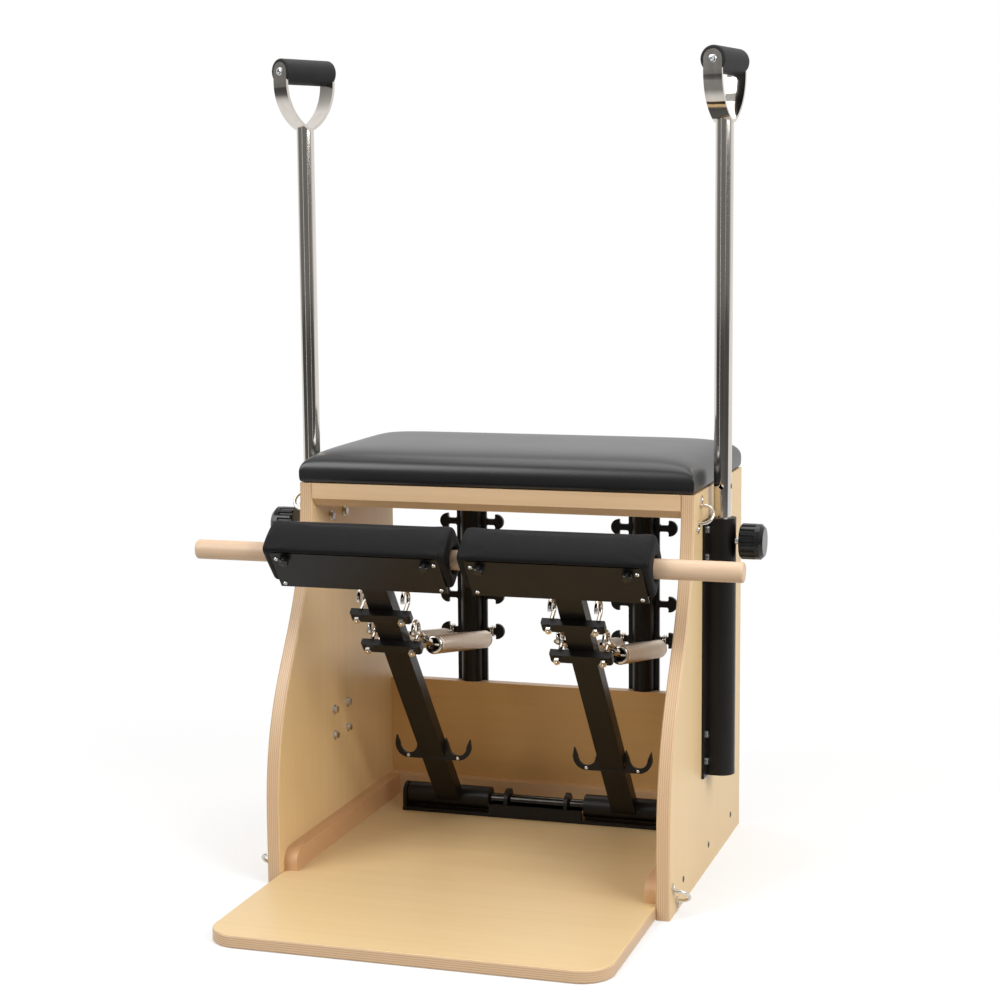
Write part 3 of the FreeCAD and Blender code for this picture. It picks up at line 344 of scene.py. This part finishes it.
def studded_pad():
    """Black rubber cover with fine rows of studs that cross on the slant, in the arm's own frame."""
    graph = Graph("studded_pad", Specular_IOR_Level=0.12)
    place = graph.place(turn=(-ARM_LEAN, 0.0, 0.0))
    axes = graph.add("ShaderNodeSeparateXYZ", {"Vector": place}).outputs
    round_pad = graph.math("SUBTRACT", axes["Y"], axes["Z"])
    rows = graph.wave(graph.math("ADD", axes["X"], round_pad), STUD_PITCH)
    crossed = graph.wave(graph.math("SUBTRACT", axes["X"], round_pad), STUD_PITCH)
    studs = graph.math("MULTIPLY", rows, crossed)
    cloud = graph.noise(place, 30.0, 3.0)
    graph.colour(graph.ramp(studs, (0.1, (0.005, 0.005, 0.0054)), (0.9, (0.0105, 0.0105, 0.011))))
    graph.roughness(cloud, 0.5, 0.62)
    graph.bump(studs, 0.4, 0.4 * MM)
    return graph.material


def moulded(name, low, high, speckle, strength):
    """Black plastic or rubber."""
    graph = Graph(name, Specular_IOR_Level=0.32)
    place = graph.place()
    cloud = graph.noise(place, 40.0, 3.0)
    graph.colour(graph.ramp(cloud, (0.3, (0.006, 0.006, 0.006)), (0.7, (0.013, 0.013, 0.014))))
    graph.roughness(cloud, low, high)
    graph.bump(graph.noise(place, speckle, 2.0), strength, 0.2 * MM)
    return graph.material


MATERIALS = {
    "panel": plywood("plywood_panel", 0, 2),
    "base": plywood("plywood_base", 2, 0, (0.725, 0.53, 0.28), (0.69, 0.49, 0.245)),
    # The back plywood is a darker, more orange copy of the panel plywood: painted shade for the shadowed
    # inside of the chair
    "back": plywood("plywood_back_painted_shade", 1, 0, (0.69, 0.435, 0.175), (0.66, 0.405, 0.155)),
    "rail": solid_wood("rail_wood", 0, (0.70, 0.49, 0.29), (0.62, 0.41, 0.22)),
    "cleat": solid_wood("cleat_wood", 1, (0.62, 0.37, 0.19), (0.54, 0.31, 0.15)),
    "beech": solid_wood("dowel_beech", 0, (0.68, 0.49, 0.33), (0.60, 0.41, 0.26)),
    "black_vinyl": vinyl(),
    "ribbed_pad": studded_pad(),
    "black_powder_coat": powder_coat(),
    "chrome": polished("chrome", (0.70, 0.655, 0.60), (0.62, 0.58, 0.53), 0.05, 0.11, 6.0),
    "spring_wire": polished("satin_nickel", (0.68, 0.575, 0.46), (0.64, 0.535, 0.42), 0.29, 0.35, 90.0),
    "axle_steel": polished("axle_steel", (0.06, 0.055, 0.05), (0.035, 0.033, 0.03), 0.12, 0.18, 90.0),
    "zinc_steel": polished("zinc_steel", (0.7, 0.71, 0.72), (0.58, 0.59, 0.6), 0.2, 0.34, 90.0),
    "bush_plastic": moulded("bush_plastic", 0.5, 0.6, 500.0, 0.05),
    "black_plastic": moulded("black_plastic", 0.14, 0.22, 300.0, 0.03),
    "black_rubber": moulded("black_rubber", 0.55, 0.7, 700.0, 0.2),
}
BOARD_MATERIALS = {
    "side_panel_left": "panel", "side_panel_right": "panel", "base_board": "base", "seat_board": "base",
    # The back panel and the rear seat rail take the darker plywood that carries painted shade
    "back_panel": "back", "rear_seat_rail": "back", "front_seat_rail": "rail", "rear_base_cleat": "rail",
    "side_cleat_left": "cleat", "side_cleat_right": "cleat",
}


def finish_nodes():
    """Gives every node of the frame the finish of its slot, and the boards their own grain."""
    for part in frame["record"]["subparts"]:
        name = BOARD_MATERIALS.get(part["node"], part["material_slot"])
        data = NODES[part["node"]].data
        data.materials.clear()
        data.materials.append(MATERIALS[name])


# Meshes

def piece(name, shape, material, body=None, smooth=True):
    """Object from a bmesh, with a finish, riding on a body."""
    data = bpy.data.meshes.new(name)
    bmesh.ops.recalc_face_normals(shape, faces=shape.faces)
    shape.to_mesh(data)
    shape.free()
    for polygon in data.polygons:
        polygon.use_smooth = smooth
    data.materials.append(MATERIALS[material])
    thing = bpy.data.objects.new(name, data)
    bpy.context.scene.collection.objects.link(thing)
    if body:
        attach(thing, body)
    return thing


def seat(point, normal):
    """Matrix that stands a piece drawn along +Z on a point, along a normal."""
    return Matrix.Translation(point) @ Vector(normal).to_track_quat("Z", "Y").to_matrix().to_4x4()


def middle_of(node):
    """Middle of a node's box."""
    low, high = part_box(node)
    return (Vector(low) + Vector(high)) / 2.0


def turned(shape, place, profile, steps=24, wobble=None):
    """Adds a closed turned form to a bmesh: profile holds (radius, height) from the foot up."""
    rings = []
    for radius, height in profile:
        if radius == 0.0:
            rings.append([shape.verts.new(place @ Vector((0.0, 0.0, height)))])
            continue
        ring = []
        for step in range(steps):
            a = 2.0 * math.pi * step / steps
            r = radius * (wobble(step) if wobble else 1.0)
            ring.append(shape.verts.new(place @ Vector((r * math.cos(a), r * math.sin(a), height))))
        rings.append(ring)
    for low, high in zip(rings, rings[1:]):
        for step in range(steps):
            following = (step + 1) % steps
            corners = [low[step % len(low)], low[following % len(low)]]
            corners += [high[following % len(high)], high[step % len(high)]]
            shape.faces.new(list(dict.fromkeys(corners)))


def screw_heads(name, places, radius, height, body, material="zinc_steel"):
    """Domed heads with a socket in each."""
    shape = bmesh.new()
    socket = 0.42 * radius
    for place in places:
        turned(shape, place, (
            (0.0, -0.3 * MM), (radius, -0.3 * MM), (radius, 0.3 * height), (0.86 * radius, 0.75 * height),
            (0.55 * radius, height), (socket, height), (socket, 0.35 * height), (0.0, 0.35 * height)))
    piece(name, shape, material, body, smooth=False)


def swell(thing, held, pressure, cap):
    """Blows a closed mesh up as cloth, keeps the held points, and caps how far a point may move."""
    group = thing.vertex_groups.new(name="held")
    group.add(held, 1.0, "REPLACE")
    start = [vertex.co.copy() for vertex in thing.data.vertices]
    cloth = thing.modifiers.new("cloth", "CLOTH")
    cloth.settings.use_pressure = True
    cloth.settings.uniform_pressure_force = pressure
    cloth.settings.vertex_group_mass = "held"
    cloth.settings.tension_stiffness = CLOTH_STIFFNESS
    cloth.settings.compression_stiffness = CLOTH_STIFFNESS
    cloth.settings.bending_stiffness = 1.0
    cloth.settings.effector_weights.gravity = 0.0
    cloth.point_cache.frame_start = 1
    cloth.point_cache.frame_end = CLOTH_FRAMES
    scene = bpy.context.scene
    for number in range(1, CLOTH_FRAMES + 1):
        scene.frame_set(number)
    evaluated = thing.evaluated_get(bpy.context.evaluated_depsgraph_get())
    moved = [vertex.co.copy() for vertex in evaluated.data.vertices]
    thing.modifiers.remove(cloth)
    for vertex, first, last in zip(thing.data.vertices, start, moved):
        step = last - first
        if step.length > cap:
            step *= cap / step.length
        vertex.co = first + step
    scene.frame_set(1)


def pad_copy(node, side):
    """Even mesh of a pad's solid with its end covers, in a new object."""
    data = NODES[node].data.copy()
    shape = bmesh.new()
    shape.from_mesh(data)
    end_covers(shape, side)
    shape.to_mesh(data)
    shape.free()
    thing = bpy.data.objects.new(node + "_soft", data)
    bpy.context.scene.collection.objects.link(thing)
    thing.data.materials.clear()
    remesh = thing.modifiers.new("remesh", "REMESH")
    remesh.mode = "VOXEL"
    remesh.voxel_size = PAD_VOXEL
    remesh.use_smooth_shade = True
    apply_modifiers(thing)
    return thing


def apply_modifiers(thing):
    evaluated = thing.evaluated_get(bpy.context.evaluated_depsgraph_get())
    data = bpy.data.meshes.new_from_object(evaluated)
    thing.modifiers.clear()
    old = thing.data
    thing.data = data
    bpy.data.meshes.remove(old)


def relax(thing):
    smooth = thing.modifiers.new("relax", "SMOOTH")
    smooth.factor = RELAX_SHARE
    smooth.iterations = RELAX_ROUNDS
    apply_modifiers(thing)


def subdivide(thing):
    finer = thing.modifiers.new("finer", "SUBSURF")
    finer.levels = 1
    finer.render_levels = 1


def fit_box(thing, low, high):
    """Scales a mesh so that its box is the given one."""
    places = [vertex.co for vertex in thing.data.vertices]
    for axis in range(3):
        least = min(place[axis] for place in places)
        most = max(place[axis] for place in places)
        stretch = (high[axis] - low[axis]) / (most - least)
        for place in places:
            place[axis] = low[axis] + (place[axis] - least) * stretch


# Pieces

def cushion_swell(reach):
    """Share of the cushion's full height, from 0 at its edge to 1 inside."""
    short = 1.0 - min(reach / CUSHION_CROWN_REACH, 1.0)
    return math.sqrt(1.0 - short ** CUSHION_FULLNESS)


def mitred(first, second):
    """The lesser of two shares, eased where they meet on the diagonals of the corners."""
    if min(first, second) == 0.0:
        return 0.0
    return (first ** -CUSHION_MITRE + second ** -CUSHION_MITRE) ** (-1.0 / CUSHION_MITRE)


def cushion_lines(low, high):
    """Places of the grid lines across the cushion, evenly spaced over its shoulders and its top."""
    turn = 90.0 / CUSHION_SHOULDER_STEPS
    turns = [math.radians(turn * number) for number in range(CUSHION_SHOULDER_STEPS + 1)]
    near = [CUSHION_SHOULDER * (1.0 - math.cos(a)) for a in turns]
    count = round((high - low - 2.0 * CUSHION_SHOULDER) / CUSHION_LINE_STEP)
    step = (high - low - 2.0 * CUSHION_SHOULDER) / count
    inner = [low + CUSHION_SHOULDER + step * number for number in range(1, count)]
    return [low + value for value in near] + inner + [high - value for value in reversed(near)]


def cushion_shape(low, high):
    """Closed cushion: a crowned top, sides that pull in at the foot, and a pocket for the board."""
    shape = bmesh.new()
    xs, ys = cushion_lines(low[0], high[0]), cushion_lines(low[1], high[1])
    grid = []
    for x in xs:
        across = cushion_swell(min(x - low[0], high[0] - x))
        row = []
        for y in ys:
            share = mitred(across, cushion_swell(min(y - low[1], high[1] - y)))
            height = low[2] + CUSHION_SIDE + share * CUSHION_RISE
            row.append(shape.verts.new((x, y, height)))
        grid.append(row)
    for first, second in zip(grid, grid[1:]):
        for number in range(len(ys) - 1):
            shape.faces.new((first[number], second[number], second[number + 1], first[number + 1]))
    rim = [row[0] for row in grid] + grid[-1][1:]
    rim += [row[-1] for row in reversed(grid[:-1])] + list(reversed(grid[0][1:-1]))
    loop = rim
    for inset, share in CUSHION_SIDE_STEPS:
        height = low[2] + share * CUSHION_SIDE
        following = []
        for vertex in rim:
            x = min(max(vertex.co.x, low[0] + inset), high[0] - inset)
            y = min(max(vertex.co.y, low[1] + inset), high[1] - inset)
            following.append(shape.verts.new((x, y, height)))
        for number, vertex in enumerate(loop):
            after = (number + 1) % len(loop)
            shape.faces.new((vertex, loop[after], following[after], following[number]))
        loop = following
    shape.faces.new(loop)
    return shape


def seat_cushion():
    """Foam cushion in vinyl: starts slack, swells under pressure, and is held along its foot."""
    low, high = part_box("seat_cushion")
    thing = piece("seat_cushion_soft", cushion_shape(low, high), "black_vinyl", "frame")
    side = low[2] + CUSHION_SIDE
    held = [v.index for v in thing.data.vertices if v.co.z < low[2] + CUSHION_HELD]
    pocket = low[2] + CUSHION_POCKET_DEPTH
    held += [v.index for v in thing.data.vertices if abs(v.co.z - pocket) < 0.1 * MM]
    for vertex in thing.data.vertices:
        if vertex.co.z > side:
            vertex.co.z = side + (vertex.co.z - side) * CUSHION_SLACK
    swell(thing, held, CUSHION_PRESSURE, CUSHION_CAP)
    relax(thing)
    fit_box(thing, low, high)
    subdivide(thing)
    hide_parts("seat_cushion")


def edge_reach(outline, centre, way):
    """Distance from a centre to a convex outline, given anticlockwise, in a direction."""
    reaches = []
    for start, end in zip(outline, outline[1:] + outline[:1]):
        outward = Vector((end.y - start.y, start.x - end.x))
        if outward.dot(way) > 0.0:
            reaches.append(outward.dot(start - centre) / outward.dot(way))
    return min(reaches)


def end_covers(shape, side):
    """Adds the rounded covers over a pedal's two ends to a bmesh, open round the dowel."""
    arm = arm_matrix(side)
    back = arm.inverted()
    pad = [back @ vertex.co for vertex in NODES["pedal_pad_" + side].data.vertices]
    head = [back @ vertex.co for vertex in NODES["pedal_head_" + side].data.vertices]
    flat = [Vector((place.y, place.z)) for place in pad + head]
    outline = [flat[index] for index in convex_hull_2d(flat)]
    axis = back @ middle_of("dowel")
    centre = Vector((axis.y, axis.z))
    half = max(place.x for place in pad)
    turns = [2.0 * math.pi * number / COVER_STEPS for number in range(COVER_STEPS)]
    ways = [Vector((math.cos(a), math.sin(a))) for a in turns]
    reaches = [edge_reach(outline, centre, way) for way in ways]
    for end in (-1, 1):
        rings = []
        for share, height in COVER_PROFILE:
            ring = []
            for way, reach in zip(ways, reaches):
                place = centre + way * (COVER_HOLE + (reach - COVER_HOLE) * share)
                ring.append(shape.verts.new(arm @ Vector((end * (half + height), place.x, place.y))))
            rings.append(ring)
        faces = []
        for low, high in zip(rings, rings[1:] + rings[:1]):
            for number in range(COVER_STEPS):
                following = (number + 1) % COVER_STEPS
                corners = (low[number], low[following], high[following], high[number])
                faces.append(shape.faces.new(corners))
        bmesh.ops.recalc_face_normals(shape, faces=faces)


def pedal_pad(side):
    """Stuffed cover on a pedal head and over its ends, held where it lies on the sheet."""
    node = "pedal_pad_" + side
    thing = pad_copy(node, side)
    low = [min(vertex.co[axis] for vertex in thing.data.vertices) for axis in range(3)]
    high = [max(vertex.co[axis] for vertex in thing.data.vertices) for axis in range(3)]
    head = NODES["pedal_head_" + side].data
    plate = NODES["pedal_front_plate_" + side].data
    trees = []
    for data in (head, plate):
        places = [vertex.co for vertex in data.vertices]
        trees.append(BVHTree.FromPolygons(places, [tuple(p.vertices) for p in data.polygons]))
    held = []
    for vertex in thing.data.vertices:
        reach = min(tree.find_nearest(vertex.co)[3] for tree in trees)
        if reach < PAD_HELD:
            held.append(vertex.index)
    swell(thing, held, PAD_PRESSURE, PAD_CAP)
    relax(thing)
    fit_box(thing, low, high)
    subdivide(thing)
    thing.data.materials.append(MATERIALS["ribbed_pad"])
    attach(thing, "pedal_" + side)
    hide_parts(node)


def spring_coil(side, place):
    """Close-wound spring that stretches between its post hook and its snap hook."""
    label = side + "_" + place
    forward = Vector(JOINTS["spring_%s_stretch" % label]["axis"])
    hook = Vector(JOINTS["spring_%s_swing" % label]["pos_m"])
    across = Vector((1.0, 0.0, 0.0))
    upward = across.cross(forward)
    upward *= math.copysign(1.0, upward.z)
    start = hook + forward * COIL_START - upward * COIL_DROP
    pitch = 2.0 * WIRE_RADIUS
    steps = int((COIL_LENGTH - 2.0 * WIRE_RADIUS) / pitch * COIL_STEPS)
    rise = (COIL_LENGTH - 2.0 * WIRE_RADIUS) / steps
    shape = bmesh.new()
    rings = []
    for step in range(steps + 1):
        a = 2.0 * math.pi * step / COIL_STEPS
        outward = across * math.cos(a) + upward * math.sin(a)
        centre = start + forward * (WIRE_RADIUS + rise * step)
        ring = []
        for number in range(WIRE_SIDES):
            b = 2.0 * math.pi * (number + 0.5) / WIRE_SIDES
            reach = COIL_RADIUS + WIRE_RADIUS * flattened(math.cos(b))
            ahead = forward * WIRE_RADIUS * flattened(math.sin(b))
            ring.append(shape.verts.new(centre + outward * reach + ahead))
        rings.append(ring)
    for low, high in zip(rings, rings[1:]):
        for number in range(WIRE_SIDES):
            following = (number + 1) % WIRE_SIDES
            shape.faces.new((low[number], low[following], high[following], high[number]))
    shape.faces.new(rings[0])
    shape.faces.new(rings[-1])
    thing = piece("spring_coil_%s_wound" % label, shape, "spring_wire")
    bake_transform(thing)
    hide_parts("spring_coil_" + label)


def flattened(value):
    """Fills out the corners of the wire's section, as turns pressed together show it."""
    return math.copysign(abs(value) ** WIRE_SQUARENESS, value)


def arm_matrix(side):
    """From the pedal arm's own frame to the chair's."""
    hinge = Vector(JOINTS["pedal_%s_press" % side]["pos_m"])
    return Matrix.Translation(hinge) @ Matrix.Rotation(ARM_LEAN, 4, "X")


def thumb_ridge(step):
    """Share of a thumb knob's radius: ridges with grooves between them."""
    return 1.0 if step % THUMB_KNOB_LOBE < THUMB_KNOB_RIDGE else THUMB_KNOB_GROOVE


def plate_fittings(side):
    """Screws at the corners of a pedal's front plate, and thumb knobs beside the upper ones."""
    arm = arm_matrix(side)
    screws = []
    knobs = bmesh.new()
    for end in (-1, 1):
        x = end * (PLATE_HALF - PLATE_SCREW_INSET)
        for z in PLATE_SCREW_HEIGHTS:
            screws.append(arm @ seat((x, PLATE_FACE, z), (0.0, -1.0, 0.0)))
        foot = (x - end * THUMB_KNOB_STEP, PLATE_FACE, THUMB_KNOB_HEIGHT)
        profile = [(share * THUMB_KNOB_RADIUS, height) for share, height in THUMB_KNOB_PROFILE]
        turned(knobs, arm @ seat(foot, (0.0, -1.0, 0.0)), profile, THUMB_KNOB_STEPS, thumb_ridge)
    screw_heads("plate_screws_" + side, screws, 3.2 * MM, 1.8 * MM, "pedal_" + side)
    piece("thumb_knobs_" + side, knobs, "black_plastic", "pedal_" + side, smooth=False)


def cradle_screws(side):
    """A screw at the foot of each U of a cradle, which stands upright while the pedal is up."""
    arm = arm_matrix(side)
    places = []
    for end in (-1, 1):
        middle = arm @ Vector((end * CRADLE_SPREAD / 2.0, -CRADLE_FRONT, CRADLE_HEIGHT))
        foot = middle + Vector((0.0, -CRADLE_THICKNESS / 2.0, -CRADLE_MIDDLE_RADIUS))
        places.append(seat(foot, (0.0, -1.0, 0.0)))
    screw_heads("cradle_screws_" + side, places, 2.8 * MM, 1.5 * MM, "pedal_" + side)


def panel_screws():
    """Screws through the side panels into the base cleats, and in the tabs of the strap loops."""
    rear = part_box("side_panel_right")[1][1]
    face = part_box("side_panel_right")[1][0]
    places = []
    for setback in PANEL_SCREW_SETBACKS:
        for side in (-1, 1):
            place = (side * face, rear - setback, PANEL_SCREW_HEIGHT)
            places.append(seat(place, (side, 0.0, 0.0)))
    screw_heads("panel_screws", places, 4.8 * MM, 0.9 * MM, "frame", "axle_steel")
    tabs = []
    for setback, height, turn in STRAP_LOOPS:
        a = math.radians(turn)
        for end in (-1, 1):
            y = rear - setback - end * STRAP_LOOP_HALF * math.sin(a)
            z = height + end * STRAP_LOOP_HALF * math.cos(a)
            for side in (-1, 1):
                tabs.append(seat((side * (face + STRAP_LOOP_TAB), y, z), (side, 0.0, 0.0)))
    screw_heads("loop_screws", tabs, 3.2 * MM, 1.6 * MM, "frame")


def handle_bolts(side):
    """Button heads on the outer faces of a handle's strap, on the grip's axis."""
    middle = middle_of("handle_grip_" + side)
    turn = HANDLE_TURN[side]
    along = Vector((-math.sin(turn), math.cos(turn), 0.0))
    places = [seat(middle + along * end * HANDLE_HALF, along * end) for end in (-1, 1)]
    screw_heads("handle_bolts_" + side, places, 6.0 * MM, 2.6 * MM, "pole_" + side)


# Stage

def floor():
    """Pale studio floor that keeps the chair's shadow and turns to plain white further out."""
    material = bpy.data.materials.new("studio_floor")
    material.use_nodes = True
    graph = Tree(material.node_tree)
    graph.tree.nodes.remove(graph.tree.nodes["Principled BSDF"])
    place = graph.add("ShaderNodeTexCoord").outputs["Object"]
    axes = graph.add("ShaderNodeSeparateXYZ", {"Vector": place}).outputs
    behind = graph.spread(axes["Y"], *FLOOR_TURN, smooth=True)
    reach = graph.add("ShaderNodeVectorMath", {0: place}, operation="LENGTH").outputs["Value"]
    away = graph.spread(reach, *FLOOR_FADE, smooth=True)
    seen = graph.seen(behind)
    dim = graph.math("MULTIPLY", away, graph.math("SUBTRACT", 1.0, behind))
    tone = graph.spread(dim, 0.0, 1.0, *FLOOR_TONES)
    pale = graph.add("ShaderNodeBsdfDiffuse", {"Color": tone})
    lift = graph.add("ShaderNodeEmission", {"Strength": graph.math("MULTIPLY", seen, FLOOR_LIFT)})
    near = graph.add("ShaderNodeAddShader", {0: pale.outputs[0], 1: lift.outputs[0]})
    far = graph.add("ShaderNodeEmission", {"Strength": 1.0})
    share = graph.math("MULTIPLY", seen, away)
    both = graph.add("ShaderNodeMixShader", {0: share, 1: near.outputs[0], 2: far.outputs[0]})
    graph.feed(graph.tree.nodes["Material Output"].inputs["Surface"], both.outputs[0])
    bpy.ops.mesh.primitive_plane_add(size=30.0, location=(0.0, 0.0, -0.2 * MM))
    ground = bpy.context.object
    ground.name = "studio_floor"
    ground.data.materials.append(material)


def world():
    """White behind the chair and above it, dim on the camera's side, and softer as a light."""
    sky = bpy.data.worlds.new("studio")
    bpy.context.scene.world = sky
    sky.use_nodes = True
    graph = Tree(sky.node_tree)
    toward = graph.add("ShaderNodeTexCoord").outputs["Generated"]
    axes = graph.add("ShaderNodeSeparateXYZ", {"Vector": toward}).outputs
    above = graph.math("MULTIPLY", graph.math("MAXIMUM", axes["Z"], 0.0), SKY_TOP)
    white = graph.math("ADD", graph.spread(axes["Y"], *SKY_TURN, smooth=True), above)
    level = graph.spread(white, 0.0, 1.0, SKY_FRONT, 1.0)
    light = graph.math("MULTIPLY", level, SKY_LIGHT)
    back = graph.tree.nodes["Background"]
    back.inputs["Color"].default_value = (1.0, 1.0, 1.0, 1.0)
    graph.feed(back.inputs["Strength"], graph.math("MAXIMUM", light, graph.seen(level)))


def lamp(name, place, aim, width, height, power):
    """Area lamp that looks at a height over the middle of the chair."""
    data = bpy.data.lights.new(name, "AREA")
    data.shape = "RECTANGLE"
    data.size = width
    data.size_y = height
    data.energy = power
    thing = bpy.data.objects.new(name, data)
    bpy.context.scene.collection.objects.link(thing)
    thing.location = place
    thing.rotation_euler = (Vector((0.0, 0.0, aim)) - Vector(place)).to_track_quat("-Z", "Y").to_euler()


def camera():
    """Camera at the photograph's place, with its small roll."""
    forward = Vector((
        -math.sin(CAMERA_YAW) * math.cos(CAMERA_PITCH),
        math.cos(CAMERA_YAW) * math.cos(CAMERA_PITCH),
        -math.sin(CAMERA_PITCH)))
    right = Vector((math.cos(CAMERA_YAW), math.sin(CAMERA_YAW), 0.0))
    upward = right.cross(forward)
    across = right * math.cos(CAMERA_ROLL) + upward * math.sin(CAMERA_ROLL)
    upright = upward * math.cos(CAMERA_ROLL) - right * math.sin(CAMERA_ROLL)
    data = bpy.data.cameras.new("camera")
    data.lens = CAMERA_LENS
    data.sensor_width = CAMERA_SENSOR
    thing = bpy.data.objects.new("camera", data)
    bpy.context.scene.collection.objects.link(thing)
    turn = Matrix((across, upright, -forward)).transposed().to_4x4()
    thing.matrix_world = Matrix.Translation(CAMERA_PLACE) @ turn
    bpy.context.scene.camera = thing


finish_nodes()
seat_cushion()
for side in SIDES:
    pedal_pad(side)
    plate_fittings(side)
    handle_bolts(side)
    cradle_screws(side)
    for place in PLACES:
        spring_coil(side, place)
panel_screws()
floor()
world()
lamp("key", place=(-2.2, -2.6, 3.0), aim=0.5, width=2.4, height=2.4, power=110.0)
lamp("fill", place=(2.8, -1.4, 2.2), aim=0.4, width=2.2, height=2.2, power=95.0)
lamp("top", place=(0.0, 0.6, 3.4), aim=0.5, width=2.6, height=2.6, power=45.0)
lamp("strip_right", place=(2.2, -3.0, 1.0), aim=1.0, width=0.3, height=2.4, power=2.2)
lamp("strip_left", place=(-1.7, -2.8, 1.0), aim=1.0, width=0.22, height=2.4, power=1.6)
camera()
bpy.context.scene.view_settings.view_transform = "Standard"
